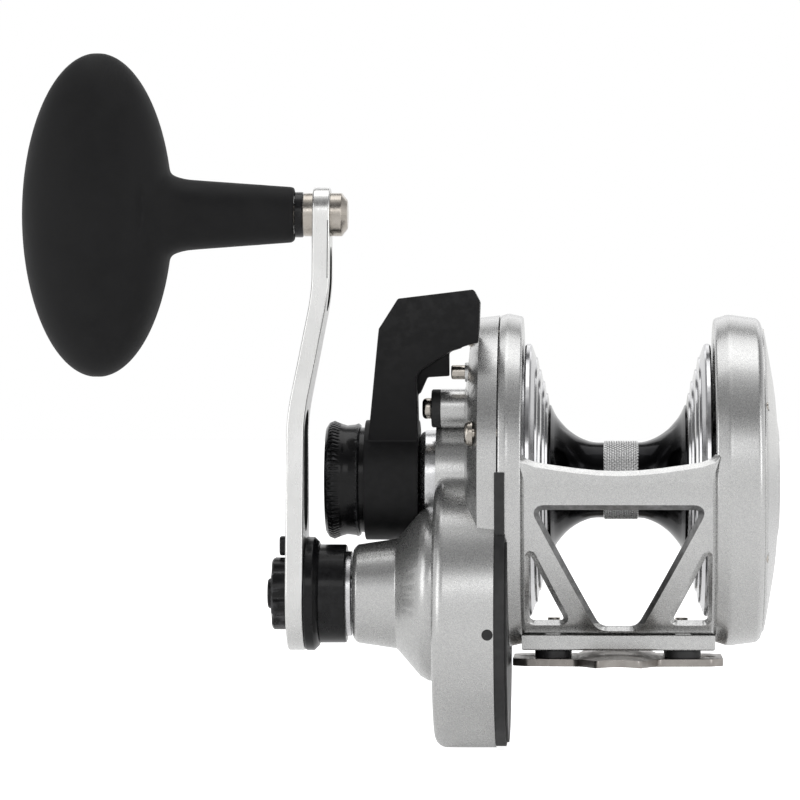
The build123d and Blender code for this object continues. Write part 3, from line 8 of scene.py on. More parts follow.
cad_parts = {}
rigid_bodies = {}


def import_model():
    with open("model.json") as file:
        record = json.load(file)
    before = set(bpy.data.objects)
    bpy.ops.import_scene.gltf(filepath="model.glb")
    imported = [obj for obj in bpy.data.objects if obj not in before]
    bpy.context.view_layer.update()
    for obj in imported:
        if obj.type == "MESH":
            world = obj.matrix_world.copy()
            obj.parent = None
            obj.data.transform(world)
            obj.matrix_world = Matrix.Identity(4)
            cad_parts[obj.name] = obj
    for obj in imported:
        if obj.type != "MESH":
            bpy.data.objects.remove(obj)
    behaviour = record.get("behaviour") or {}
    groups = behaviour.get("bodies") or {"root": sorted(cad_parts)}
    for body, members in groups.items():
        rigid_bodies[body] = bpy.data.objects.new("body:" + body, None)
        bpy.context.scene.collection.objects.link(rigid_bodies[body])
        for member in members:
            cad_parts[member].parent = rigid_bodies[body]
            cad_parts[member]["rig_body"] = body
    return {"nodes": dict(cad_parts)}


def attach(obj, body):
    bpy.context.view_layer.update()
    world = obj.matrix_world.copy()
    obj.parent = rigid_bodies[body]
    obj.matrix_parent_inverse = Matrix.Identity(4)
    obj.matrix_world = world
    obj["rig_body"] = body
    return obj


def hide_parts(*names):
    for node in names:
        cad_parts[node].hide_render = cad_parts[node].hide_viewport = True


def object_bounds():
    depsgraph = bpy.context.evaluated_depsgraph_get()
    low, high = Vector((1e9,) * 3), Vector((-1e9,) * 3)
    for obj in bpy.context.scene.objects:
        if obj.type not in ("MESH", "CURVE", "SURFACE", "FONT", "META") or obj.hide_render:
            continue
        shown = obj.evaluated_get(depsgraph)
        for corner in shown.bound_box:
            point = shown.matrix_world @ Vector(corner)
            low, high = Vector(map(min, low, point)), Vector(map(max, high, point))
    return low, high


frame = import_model()
cad_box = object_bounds()

MM = 0.001
SPOOL_Z = 44.0
HANDLE_YZ = (-12.5, 17.17)
KNOB_YZ = (-12.5, 107.3)
SPOOL_YZ = (0.0, SPOOL_Z)


# ---------------------------------------------------------------- materials
def socket(node, name):
    return next(s for s in node.inputs if s.name == name and s.enabled)


def new_material(name):
    material = bpy.data.materials.new(name)
    material.use_nodes = True
    tree = material.node_tree
    return material, tree, tree.nodes["Principled BSDF"]


def noise(tree, scale, detail=4.0, rough=0.55, stretch=(1, 1, 1)):
    """Noise in the row frame; scale is features per metre."""
    place = tree.nodes.new("ShaderNodeTexCoord")
    mapping = tree.nodes.new("ShaderNodeMapping")
    mapping.inputs["Scale"].default_value = [scale * s for s in stretch]
    tree.links.new(place.outputs["Object"], mapping.inputs["Vector"])
    texture = tree.nodes.new("ShaderNodeTexNoise")
    texture.inputs["Scale"].default_value = 1.0
    texture.inputs["Detail"].default_value = detail
    texture.inputs["Roughness"].default_value = rough
    tree.links.new(mapping.outputs["Vector"], texture.inputs["Vector"])
    return texture


def ramp(tree, source, low, high, start=0.3, end=0.7):
    node = tree.nodes.new("ShaderNodeValToRGB")
    node.color_ramp.elements[0].position = start
    node.color_ramp.elements[1].position = end
    node.color_ramp.elements[0].color = low if len(low) == 4 else (*low, 1)
    node.color_ramp.elements[1].color = high if len(high) == 4 else (*high, 1)
    tree.links.new(source, node.inputs["Fac"])
    return node


def spread(tree, source, low, high):
    node = tree.nodes.new("ShaderNodeMapRange")
    node.inputs["From Min"].default_value = 0.3
    node.inputs["From Max"].default_value = 0.7
    node.inputs["To Min"].default_value = low
    node.inputs["To Max"].default_value = high
    tree.links.new(source, node.inputs["Value"])
    return node


def worn_edges(tree, colour, edge_colour, amount, start=0.52, end=0.6):
    """Mixes edge_colour in where the surface is convex, broken up by noise."""
    geometry = tree.nodes.new("ShaderNodeNewGeometry")
    edge = ramp(tree, geometry.outputs["Pointiness"], (0, 0, 0), (1, 1, 1), start, end)
    patch = ramp(tree, noise(tree, 420).outputs["Fac"], (0, 0, 0), (1, 1, 1), 0.42, 0.62)
    share = tree.nodes.new("ShaderNodeMath")
    share.operation = "MULTIPLY"
    tree.links.new(edge.outputs["Color"], share.inputs[0])
    tree.links.new(patch.outputs["Color"], share.inputs[1])
    scaled = tree.nodes.new("ShaderNodeMath")
    scaled.operation = "MULTIPLY"
    scaled.inputs[1].default_value = amount
    tree.links.new(share.outputs["Value"], scaled.inputs[0])
    mix = tree.nodes.new("ShaderNodeMix")
    mix.data_type = "RGBA"
    tree.links.new(scaled.outputs["Value"], socket(mix, "Factor"))
    tree.links.new(colour, socket(mix, "A"))
    socket(mix, "B").default_value = (*edge_colour, 1)
    return next(s for s in mix.outputs if s.enabled)


def bumped(tree, shader, layers):
    """layers: (height socket, strength, distance in mm), chained."""
    previous = None
    for height, strength, depth in layers:
        bump = tree.nodes.new("ShaderNodeBump")
        bump.inputs["Strength"].default_value = strength
        bump.inputs["Distance"].default_value = depth * MM
        tree.links.new(height, bump.inputs["Height"])
        if previous:
            tree.links.new(previous.outputs["Normal"], bump.inputs["Normal"])
        previous = bump
    tree.links.new(previous.outputs["Normal"], shader.inputs["Normal"])


def metal(name, low, high, rough, grain, stretch=(1, 1, 1), depth=0.012, edge=None, metallic=1.0, coat=0.0):
    """Metal with cloudy colour, a fine tooling grain and brighter worn edges."""
    material, tree, shader = new_material(name)
    cloud = noise(tree, 90)
    fine = noise(tree, grain, 3.0, 0.6, stretch)
    colour = ramp(tree, cloud.outputs["Fac"], low, high).outputs["Color"]
    if edge:
        colour = worn_edges(tree, colour, edge, 0.7)
    tree.links.new(colour, shader.inputs["Base Color"])
    tree.links.new(spread(tree, fine.outputs["Fac"], *rough).outputs["Result"], shader.inputs["Roughness"])
    bumped(tree, shader, [(fine.outputs["Fac"], 0.35, depth), (noise(tree, 260).outputs["Fac"], 0.12, 0.03)])
    shader.inputs["Metallic"].default_value = metallic
    shader.inputs["Coat Weight"].default_value = coat
    shader.inputs["Coat Roughness"].default_value = 0.12
    return material


def sparkle_paint(name, low, high, rough, flake=4200.0, depth=0.02):
    """Cast metal under silver paint: flakes of differing brightness, orange peel, rubbed edges."""
    material, tree, shader = new_material(name)
    place = tree.nodes.new("ShaderNodeTexCoord")
    cells = tree.nodes.new("ShaderNodeTexVoronoi")
    cells.inputs["Scale"].default_value = flake
    tree.links.new(place.outputs["Object"], cells.inputs["Vector"])
    tone = tree.nodes.new("ShaderNodeSeparateColor")
    tree.links.new(cells.outputs["Color"], tone.inputs["Color"])
    flakes = ramp(tree, tone.outputs["Red"], low, high, 0.1, 0.95)
    colour = worn_edges(tree, flakes.outputs["Color"], (0.80, 0.80, 0.80), 0.14, 0.55, 0.64)
    tree.links.new(colour, shader.inputs["Base Color"])
    tree.links.new(spread(tree, tone.outputs["Green"], *rough).outputs["Result"], shader.inputs["Roughness"])
    peel = noise(tree, 700, 2.0)
    bumped(tree, shader, [(tone.outputs["Blue"], 0.06, depth), (peel.outputs["Fac"], 0.10, 0.02)])
    shader.inputs["Metallic"].default_value = 0.88
    shader.inputs["Coat Weight"].default_value = 0.45
    shader.inputs["Coat Roughness"].default_value = 0.16
    return material


def moulded(
    name, low, high, rough, grain, depth, edge=None, coat=0.0, coat_rough=0.1, specular=0.5, sheen=0.0,
):
    """Moulded or anodised black with a fine texture."""
    material, tree, shader = new_material(name)
    cloud = noise(tree, 120)
    fine = noise(tree, grain, 3.0, 0.6)
    colour = ramp(tree, cloud.outputs["Fac"], low, high).outputs["Color"]
    if edge:
        colour = worn_edges(tree, colour, edge, 0.6)
    tree.links.new(colour, shader.inputs["Base Color"])
    tree.links.new(spread(tree, cloud.outputs["Fac"], *rough).outputs["Result"], shader.inputs["Roughness"])
    bumped(tree, shader, [(fine.outputs["Fac"], 0.4, depth), (noise(tree, 300).outputs["Fac"], 0.1, 0.04)])
    shader.inputs["Specular IOR Level"].default_value = specular
    shader.inputs["Coat Weight"].default_value = coat
    shader.inputs["Coat Roughness"].default_value = coat_rough
    shader.inputs["Sheen Weight"].default_value = sheen
    shader.inputs["Sheen Roughness"].default_value = 0.5
    return material


MATERIALS = {
    "silver_paint": sparkle_paint(
        "silver_paint", (0.54, 0.54, 0.54), (0.62, 0.62, 0.61), (0.27, 0.33), depth=0.008,
    ),
    # darker copy of the silver paint: painted shade for the window walls that turn away from the light
    "silver_painted_shade": sparkle_paint(
        "silver_painted_shade", (0.15, 0.15, 0.15), (0.21, 0.21, 0.21), (0.3, 0.36), depth=0.008,
    ),
    "foot_steel": metal(
        "foot_steel", (0.27, 0.25, 0.235), (0.40, 0.375, 0.35), (0.26, 0.42), 900, (1, 0.12, 1),
        edge=(0.55, 0.53, 0.5),
    ),
    "screw_steel": metal(
        "screw_steel", (0.42, 0.385, 0.34), (0.56, 0.52, 0.47), (0.16, 0.3), 1600,
        edge=(0.75, 0.72, 0.68),
    ),
    "black_rubber": moulded(
        "black_rubber", (0.006, 0.006, 0.0065), (0.013, 0.013, 0.0135), (0.5, 0.68), 2600, 0.03,
        edge=(0.045, 0.045, 0.046),
    ),
    "black_plate": moulded(
        "black_plate", (0.008, 0.008, 0.0085), (0.016, 0.016, 0.0165), (0.38, 0.55), 2200, 0.02,
        edge=(0.06, 0.06, 0.062),
    ),
    "bright_alloy": metal(
        "bright_alloy", (0.62, 0.62, 0.63), (0.78, 0.78, 0.79), (0.2, 0.34), 1200, edge=(0.9, 0.9, 0.9),
    ),
    "bearing_steel": metal(
        "bearing_steel", (0.5, 0.5, 0.51), (0.64, 0.64, 0.65), (0.14, 0.26), 1500, edge=(0.8, 0.8, 0.8),
    ),
    "polished_alloy": metal(
        "polished_alloy", (0.72, 0.72, 0.71), (0.82, 0.82, 0.81), (0.24, 0.34), 1500, (1, 1, 0.08),
        0.006, edge=(0.93, 0.93, 0.93),
    ),
    "gloss_black": moulded(
        "gloss_black", (0.004, 0.004, 0.0045), (0.009, 0.009, 0.0095), (0.16, 0.28), 1800, 0.008,
        edge=(0.08, 0.08, 0.085), coat=0.1, coat_rough=0.06, specular=0.2,
    ),
    "gear_brass": metal(
        "gear_brass", (0.62, 0.45, 0.2), (0.75, 0.56, 0.28), (0.22, 0.36), 1300, edge=(0.85, 0.7, 0.42),
    ),
    "grip_rubber": moulded(
        "grip_rubber", (0.006, 0.006, 0.0065), (0.012, 0.012, 0.0125), (0.55, 0.7), 3200, 0.035,
        edge=(0.05, 0.05, 0.052), specular=0.18, sheen=0.01,
    ),
    "chrome_spool": metal(
        "chrome_spool", (0.50, 0.50, 0.51), (0.62, 0.62, 0.63), (0.12, 0.2), 1500, depth=0.004,
        edge=(0.92, 0.92, 0.92),
    ),
    # near-black copy of the spool chrome: painted reflection of dark surroundings in the spool dish
    "spool_painted_reflection": metal(
        "spool_painted_reflection", (0.008, 0.008, 0.009), (0.018, 0.018, 0.019), (0.1, 0.18), 1500, depth=0.004,
    ),
    "knurl": metal("knurl", (0.60, 0.60, 0.60), (0.74, 0.74, 0.74), (0.22, 0.34), 1500, edge=(0.9, 0.9, 0.9)),
    "carbon_washer": moulded(
        "carbon_washer", (0.02, 0.02, 0.021), (0.05, 0.05, 0.052), (0.4, 0.6), 1200, 0.03,
        edge=(0.1, 0.1, 0.1),
    ),
    "matte_black": moulded(
        "matte_black", (0.005, 0.005, 0.0055), (0.010, 0.010, 0.0105), (0.46, 0.6), 2600, 0.02,
        edge=(0.03, 0.03, 0.031), specular=0.22,
    ),
}


# ---------------------------------------------------------------- mesh helpers
def settle(obj, sharp=32.0):
    """Bakes the modifiers, shades smooth between sharp edges and weights the normals by face area."""
    graph = bpy.context.evaluated_depsgraph_get()
    mesh = bpy.data.meshes.new_from_object(obj.evaluated_get(graph))
    obj.modifiers.clear()
    obj.data = mesh
    mesh.polygons.foreach_set("use_smooth", [True] * len(mesh.polygons))
    mesh.set_sharp_from_angle(angle=math.radians(sharp))
    weighted = obj.modifiers.new("weighted", "WEIGHTED_NORMAL")
    weighted.keep_sharp = True
    return obj


def piece(name, bm, body, nodes, slot, bevel=0.0, segments=2, angle=30.0, sharp=32.0, material=None):
    """A mesh in millimetres becomes a piece in metres that rides on body and stands for nodes."""
    mesh = bpy.data.meshes.new(name)
    bmesh.ops.recalc_face_normals(bm, faces=bm.faces)
    bm.to_mesh(mesh)
    bm.free()
    mesh.transform(Matrix.Scale(MM, 4))
    obj = bpy.data.objects.new(name, mesh)
    bpy.context.scene.collection.objects.link(obj)
    mesh.materials.append(material or MATERIALS[slot])
    if bevel:
        rounded = obj.modifiers.new("bevel", "BEVEL")
        rounded.width = bevel * MM
        rounded.segments = segments
        rounded.limit_method = "ANGLE"
        rounded.angle_limit = math.radians(angle)
        rounded.use_clamp_overlap = True
    settle(obj, sharp)
    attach(obj, body)
    if nodes:
        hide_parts(*nodes)
    return obj


def from_node(node):
    """The CAD node's mesh in millimetres, welded and with its flat faces merged."""
    bm = bmesh.new()
    bm.from_mesh(frame["nodes"][node].data)
    bmesh.ops.scale(bm, vec=(1000, 1000, 1000), verts=bm.verts)
    bmesh.ops.remove_doubles(bm, verts=bm.verts, dist=0.002)
    bmesh.ops.dissolve_limit(bm, angle_limit=math.radians(0.4), verts=bm.verts, edges=bm.edges)
    return bm


# ---------------------------------------------------------------- finish of every node
NODES = {
    "foot": ("foot_steel", 0.25),
    "foot_spacers": ("black_plate", 0.3),
    "foot_screws": ("screw_steel", 0.15),
    "handle_side_plate": ("silver_paint", 0.6),
    "case_plug": ("black_rubber", 0.15),
    "gasket_plate": ("black_plate", 0.2),
    "case_inner_cover": ("black_plate", 0.1),
    "bridge_plate": ("bright_alloy", 0.1),
    "side_plate_screws": ("screw_steel", 0.12),
    "strike_post": ("silver_paint", 0.2),
    "strike_bumper": ("black_rubber", 0.15),
    "strike_screw": ("screw_steel", 0.12),
    "stop_stud": ("screw_steel", 0.12),
    "bearing_housing": ("silver_paint", 0.3),
    "shaft_bearing_outer": ("bearing_steel", 0.1),
    "one_way_clutch": ("bearing_steel", 0.1),
    "shaft_bearing_inner": ("bearing_steel", 0.1),
    "pinion_bearing": ("bearing_steel", 0.1),
    "pawl_posts": ("bearing_steel", 0.1),
    "lever_hub_disc": ("bright_alloy", 0.1),
    "palm_side_plate": ("silver_paint", 0.3),
    "palm_plate_screws": ("screw_steel", 0.1),
    "hub_flange": ("gloss_black", 0.15),
    "hub_collar": ("gloss_black", 0.15),
    "spacer_ring": ("bright_alloy", 0.1),
    "cap_nut": ("gloss_black", 0.25),
    "handle_shaft": ("bearing_steel", 0.1),
    "main_gear_high": ("gear_brass", 0.05),
    "ratchet_wheel": ("bearing_steel", 0.05),
    "knob_pin": ("screw_steel", 0.1),
    "knob_nut": ("screw_steel", 0.1),
    "knob_collar": ("gloss_black", 0.2),
    "knob_bearings": ("bearing_steel", 0.1),
    "shift_button": ("gloss_black", 0.15),
    "shift_release": ("gloss_black", 0.2),
    "main_gear_low": ("gear_brass", 0.05),
    "pinion": ("bearing_steel", 0.05),
    "drag_plate": ("bearing_steel", 0.1),
    "spindle": ("bearing_steel", 0.1),
    "spool_bearings": ("bearing_steel", 0.1),
    "drag_washer": ("carbon_washer", 0.1),
    "drag_cover": ("black_plate", 0.1),
    "click_wheel": ("black_plate", 0.1),
    "preset_knob": ("gloss_black", 0.08),
    "preset_springs": ("bearing_steel", 0.05),
    "drag_lever": ("matte_black", 0.85),
    "clicker_button": ("gloss_black", 0.2),
    "anti_reverse_pawl_1": ("bearing_steel", 0.1),
    "anti_reverse_pawl_2": ("bearing_steel", 0.1),
}
for node, (slot, width) in NODES.items():
    piece(node + "_detail", from_node(node), frame["nodes"][node]["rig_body"], [node], slot, bevel=width)


# ---------------------------------------------------------------- shapes drawn in millimetres
def rounded(points, trim, steps=4, closed=True):
    """The polygon with each corner cut back by trim and turned into a short arc."""
    count = len(points)
    out = []
    for i, point in enumerate(points):
        if not closed and i in (0, count - 1):
            out.append(tuple(point))
            continue
        here = Vector(point)
        back, ahead = Vector(points[i - 1]) - here, Vector(points[(i + 1) % count]) - here
        start = here + back.normalized() * min(trim, 0.45 * back.length)
        end = here + ahead.normalized() * min(trim, 0.45 * ahead.length)
        for k in range(steps + 1):
            t = k / steps
            out.append(tuple(start * (1 - t) ** 2 + here * 2 * t * (1 - t) + end * t * t))
    return out


def lathe(profile, centre, steps=180):
    """Closed (x, r) profile turned about the line along X through centre (y, z)."""
    bm = bmesh.new()
    rings = []
    for k in range(steps):
        turn = 2 * math.pi * k / steps
        y, z = math.cos(turn), math.sin(turn)
        rings.append([bm.verts.new((x, centre[0] + r * y, centre[1] + r * z)) for x, r in profile])
    for k in range(steps):
        here, there = rings[k], rings[(k + 1) % steps]
        for i in range(len(profile)):
            j = (i + 1) % len(profile)
            bm.faces.new((here[i], here[j], there[j], there[i]))
    return bm


def plate(loops, thickness, edge, resolution=2):
    """Filled outline with holes in the XY plane, middle at z 0, with shaped edges."""
    curve = bpy.data.curves.new("outline", "CURVE")
    curve.dimensions = "2D"
    curve.fill_mode = "BOTH"
    curve.extrude = thickness / 2 - edge
    curve.bevel_depth = edge
    curve.bevel_resolution = resolution
    curve.offset = -edge
    for points in loops:
        spline = curve.splines.new("POLY")
        spline.points.add(len(points) - 1)
        for target, (x, y) in zip(spline.points, points):
            target.co = (x, y, 0, 1)
        spline.use_cyclic_u = True
    holder = bpy.data.objects.new("outline", curve)
    bpy.context.scene.collection.objects.link(holder)
    bpy.context.view_layer.update()
    mesh = bpy.data.meshes.new_from_object(holder.evaluated_get(bpy.context.evaluated_depsgraph_get()))
    bpy.data.objects.remove(holder)
    bm = bmesh.new()
    bm.from_mesh(mesh)
    bmesh.ops.remove_doubles(bm, verts=bm.verts, dist=0.001)
    return bm


def slice_along(bm, axis, start, stop, step):
    """Cuts every face at regular places along an axis, so that the sheet can bend there."""
    normal = Vector((0, 0, 0))
    normal[axis] = 1
    place = start
    while place < stop:
        everything = list(bm.verts) + list(bm.edges) + list(bm.faces)
        bmesh.ops.bisect_plane(bm, geom=everything, plane_co=normal * place, plane_no=normal, dist=1e-5)
        place += step


def between(table, value):
    """Linear look-up in a list of (key, value) pairs sorted by key."""
    if value <= table[0][0]:
        return table[0][1]
    for (a, fa), (b, fb) in zip(table, table[1:]):
        if value <= b:
            return fa + (fb - fa) * (value - a) / max(b - a, 1e-9)
    return table[-1][1]


# ---------------------------------------------------------------- open frame
LEFT_RING = [(-28.1, 33.4), (-28.1, 39.4), (-26.1, 40.0), (-22.6, 39.2), (-22.6, 33.4)]
RIGHT_RING = [(22.8, 33.4), (22.8, 38.6), (26.2, 39.7), (33.1, 38.8), (34.1, 37.7), (34.1, 33.4)]
piece(
    "left_ring", lathe(rounded(LEFT_RING, 0.5), SPOOL_YZ), "reel_body", ["frame_left_ring"], "silver_paint",
)
piece(
    "right_ring", lathe(rounded(RIGHT_RING, 0.6), SPOOL_YZ), "reel_body", ["frame_right_ring"], "silver_paint",
)

SKIN_MIDDLE_R = 37.3
SKIN_T = 3.8
BAR_TOP = [
    (-22.9, 8.0), (-22.5, 6.7), (-21.4, 5.6), (-19.0, 4.75), (-15.0, 4.1), (-10.0, 3.4), (-5.0, 2.9),
    (0.0, 2.7), (5.0, 2.9), (10.0, 3.4), (15.0, 4.1), (19.2, 4.75), (21.6, 5.6), (22.6, 6.7), (23.0, 8.0),
]
WINDOW = [(-19.0, -6.3), (19.4, -6.3), (4.5, -34.3), (-4.2, -34.3)]
CORNER_WINDOW = [(-20.6, -16.4), (-20.9, -32.8), (-12.4, -32.8)]
WALL_Z = (-33.4, -4.9)  # the splayed walls of the big window, which turn away from the light and get a darker copy of the silver paint as painted shade
WALL_MIDDLE_X = 0.15
WALL_HALF_X = 21.2
WALL_SLOPE = 0.53
WALL_FACING = 0.45


def on_skin(bm):
    """Wraps a plate drawn in (x, height above the spool axis) onto the round front of the frame."""
    for v in bm.verts:
        radius = SKIN_MIDDLE_R + v.co.z
        depth = math.sqrt(max(radius ** 2 - v.co.y ** 2, 60.0))
        v.co = (v.co.x, -depth, SPOOL_Z + v.co.y)


skin = plate(
    [
        BAR_TOP + [(23.2, -36.8), (-23.0, -36.8)],
        rounded(WINDOW, 1.9, 6),
        rounded(CORNER_WINDOW, 1.5, 6),
        rounded([(0.3 - x, z) for x, z in CORNER_WINDOW], 1.5, 6),
    ],
    SKIN_T, 1.15, 0,
)
slice_along(skin, 1, -36.2, 9.6, 0.9)
on_skin(skin)
bars = piece(
    "front_bars", skin, "reel_body", ["frame_crossbar", "frame_braces"], "silver_paint", 0.22, 2, 25, 28,
)
# the splayed window walls take the darker silver copy: painted shade, not a different finish
bars.data.materials.append(MATERIALS["silver_painted_shade"])
for face in bars.data.polygons:
    x, z = face.center.x / MM, face.center.z / MM - SPOOL_Z
    splayed = max(abs(face.normal.x), -face.normal.z) > WALL_FACING
    reach = WALL_HALF_X - WALL_SLOPE * (WALL_Z[1] - z)
    if splayed and WALL_Z[0] < z < WALL_Z[1] and abs(x - WALL_MIDDLE_X) < reach:
        face.material_index = 1

rear = plate([[(-23.0, -6.0), (23.2, -6.0), (23.2, 1.0), (-23.0, 1.0)]], SKIN_T, 0.9, 2)
slice_along(rear, 1, -6.0, 1.0, 0.7)
on_skin(rear)
bmesh.ops.rotate(rear, verts=rear.verts, cent=(0.1, 0, SPOOL_Z), matrix=Matrix.Rotation(math.pi, 3, "Z"))
piece("rear_bar", rear, "reel_body", ["frame_rear_bar"], "silver_paint")

BASE_Z = (3.8, 7.6)
PAD_TOP_Z = 9.8
base = plate([[(-22.8, -14.0), (23.0, -14.0), (23.0, 14.0), (-22.8, 14.0)],
              rounded([(-5, -7.5), (5, -7.5), (5, 7.5), (-5, 7.5)], 1.2)], BASE_Z[1] - BASE_Z[0], 0.5, 2)
bmesh.ops.translate(base, verts=base.verts, vec=(0, 0, sum(BASE_Z) / 2))
piece("base_plate", base, "reel_body", ["frame_base"], "silver_paint")
for number, (x, y) in enumerate([(x, y) for x in (-15.4, 15.4) for y in (-9.0, 9.0)], 1):
    octagon = [(4.5 * math.cos(math.radians(22.5 + 45 * k)), 4.5 * math.sin(math.radians(22.5 + 45 * k)))
               for k in range(8)]
    hole = [(1.6 * math.cos(math.radians(15 * k)), 1.6 * math.sin(math.radians(15 * k))) for k in range(24)]
    pad = plate([octagon, hole], PAD_TOP_Z - BASE_Z[0], 0.7, 0)
    bmesh.ops.translate(pad, verts=pad.verts, vec=(x, y, (PAD_TOP_Z + BASE_Z[0]) / 2))
    piece(f"foot_pad_{number}", pad, "reel_body", [], "silver_paint", 0.12)

# ---------------------------------------------------------------- gasket edge that shows beside the frame
GASKET_RIM_R = (39.2, 40.35)
GASKET_RIM_X = (-28.75, -26.4)
GASKET_RIM_ARC = (176.5, 197.5)  # degrees round the spool axis, from +Y over the top
GASKET_RIM_STEPS = 24
rim = bmesh.new()
rim_rows = []
for step in range(GASKET_RIM_STEPS + 1):
    turn = math.radians(GASKET_RIM_ARC[0] + (GASKET_RIM_ARC[1] - GASKET_RIM_ARC[0]) * step / GASKET_RIM_STEPS)
    rim_rows.append([
        rim.verts.new((x, r * math.cos(turn), SPOOL_Z + r * math.sin(turn)))
        for x, r in (
            (GASKET_RIM_X[0], GASKET_RIM_R[0]), (GASKET_RIM_X[0], GASKET_RIM_R[1]),
            (GASKET_RIM_X[1], GASKET_RIM_R[1]), (GASKET_RIM_X[1], GASKET_RIM_R[0]),
        )
    ])
for first, second in zip(rim_rows, rim_rows[1:]):
    for k in range(4):
        rim.faces.new((first[k], first[(k + 1) % 4], second[(k + 1) % 4], second[k]))
rim.faces.new(rim_rows[0][::-1])
rim.faces.new(rim_rows[-1])
bmesh.ops.recalc_face_normals(rim, faces=rim.faces)
piece("gasket_rim", rim, "reel_body", [], "black_plate", 0.12)

# ---------------------------------------------------------------- spool, stepped flanges, knurled arbor
STEPS = [(19.3, 29.5), (18.5, 26.6), (17.6, 23.8), (16.9, 20.9), (16.1, 18.0)]
DISH = [(14.6, 15.1), (12.1, 12.2), (9.4, 10.3), (6.6, 9.2), (4.9, 9.05)]
half = [(20.9, 32.7), (20.5, 32.3)]
for x, r in STEPS:
    half += [(x + 0.25, r + 0.1), (x - 0.15, r - 0.1)]
half += rounded([STEPS[-1]] + DISH, 1.4, 4, closed=False)[1:]
left_side = [(-19.2, 4.2), (-19.2, 25.0), (-26.9, 25.0), (-26.9, 27.3), (-26.7, 27.5)]
left_side += [(-22.1, 27.5), (-22.1, 32.3), (-21.7, 32.7)] + [(-x, r) for x, r in half]
right_side = [(22.1, 22.0), (22.1, 32.3), (21.7, 32.7)] + half
spool_profile = left_side + right_side[::-1] + [(19.4, 22.0), (19.4, 4.2)]
PAINTED_REFLECTION_R = 20.8  # inside this radius the spool is painted near-black: a painted reflection of dark surroundings on the chrome
PAINTED_REFLECTION_HALF_X = 16.9
spool_bm = lathe(spool_profile, SPOOL_YZ, 240)
spool = piece("spool_turned", spool_bm, "spool_body", ["spool"], "chrome_spool", sharp=12)
spool.data.materials.append(MATERIALS["spool_painted_reflection"])
# faces near the arbor get the near-black metal as a painted reflection of dark surroundings
for face in spool.data.polygons:
    x, y, z = [c / MM for c in face.center]
    if math.hypot(y, z - SPOOL_Z) < PAINTED_REFLECTION_R and abs(x) < PAINTED_REFLECTION_HALF_X:
        face.material_index = 1

KNURL_X = (-3.4, 4.9)
KNURL_R = 9.4
KNURL_COUNT = 64
KNURL_DEPTH = 0.3
knurl_pitch = 2 * math.pi * KNURL_R / KNURL_COUNT
knurl = bmesh.new()
across_steps, around_steps = 72, KNURL_COUNT * 8
rows = []
for i in range(across_steps + 1):
    x = KNURL_X[0] + (KNURL_X[1] - KNURL_X[0]) * i / across_steps
    edge = min(1.0, min(x - KNURL_X[0], KNURL_X[1] - x) / KNURL_DEPTH)
    row = []
    for k in range(around_steps):
        turn = 2 * math.pi * k / around_steps
        u = turn * KNURL_COUNT / (2 * math.pi)
        v = x / knurl_pitch * 0.8
        ridge = min(abs((u + v) % 1 - 0.5), abs((u - v) % 1 - 0.5)) * 2
        radius = KNURL_R - KNURL_DEPTH + KNURL_DEPTH * min(1.0, ridge * 1.6) * edge
        row.append(knurl.verts.new((x, radius * math.cos(turn), SPOOL_Z + radius * math.sin(turn))))
    rows.append(row)
for here, there in zip(rows, rows[1:]):
    for k in range(around_steps):
        j = (k + 1) % around_steps
        knurl.faces.new((here[k], here[j], there[j], there[k]))
piece("knurled_arbor", knurl, "spool_body", [], "chrome_spool", sharp=60, material=MATERIALS["knurl"])

# ---------------------------------------------------------------- handle arm
ARM_T = 4.15
ARM_LINE = rounded([(0.0, -78.3), (59.0, -78.3), (89.0, -72.35), (130.0, -72.35)], 5.0, 6, closed=False)
HANDLE_Y, HANDLE_Z = HANDLE_YZ
KNOB_Z = KNOB_YZ[1]


def arc(centre, radius, start, end, count):
    steps = [math.radians(start + (end - start) * k / count) for k in range(count + 1)]
    return [(centre[0] + radius * math.cos(a), centre[1] + radius * math.sin(a)) for a in steps]


def slot_outline(middle_z, length, width):
    top = (HANDLE_Y, middle_z + (length - width) / 2)
    bottom = (HANDLE_Y, middle_z - (length - width) / 2)
    return arc(top, width / 2, 0, 180, 14) + arc(bottom, width / 2, 180, 360, 14)


arm_outline = (
    arc((HANDLE_Y, HANDLE_Z), 13.5, 176, 364, 28) + [(HANDLE_Y + 9.4, HANDLE_Z + 40)]
    + arc((HANDLE_Y, KNOB_Z), 6.5, 4, 176, 20) + [(HANDLE_Y - 9.4, HANDLE_Z + 40)]
)
LOW_POCKET = slot_outline(SPOOL_Z + 2.5, 29.0, 14.0)
HIGH_POCKET = slot_outline(SPOOL_Z + 48.0, 15.5, 8.0)
arm_bm = plate([rounded(arm_outline, 2.0, 3)], ARM_T, 0.55, 3)
arm_mesh = bpy.data.meshes.new("arm_blank")
bmesh.ops.dissolve_limit(arm_bm, angle_limit=0.002, verts=arm_bm.verts, edges=arm_bm.edges)
arm_bm.to_mesh(arm_mesh)
arm_bm.free()
arm_blank = bpy.data.objects.new("arm_blank", arm_mesh)
bpy.context.scene.collection.objects.link(arm_blank)
cutters = []
for outline in (LOW_POCKET, HIGH_POCKET):
    cutter_bm = plate([outline], 3.2, 0.01, 0)
    bmesh.ops.translate(cutter_bm, verts=cutter_bm.verts, vec=(0, 0, ARM_T / 2))
    cutter_mesh = bpy.data.meshes.new("arm_cutter")
    cutter_bm.to_mesh(cutter_mesh)
    cutter_bm.free()
    cutter = bpy.data.objects.new("arm_cutter", cutter_mesh)
    bpy.context.scene.collection.objects.link(cutter)
    cutters.append(cutter)
    cut = arm_blank.modifiers.new("pocket", "BOOLEAN")
    cut.operation = "DIFFERENCE"
    cut.solver = "EXACT"
    cut.object = cutter
bpy.context.view_layer.update()
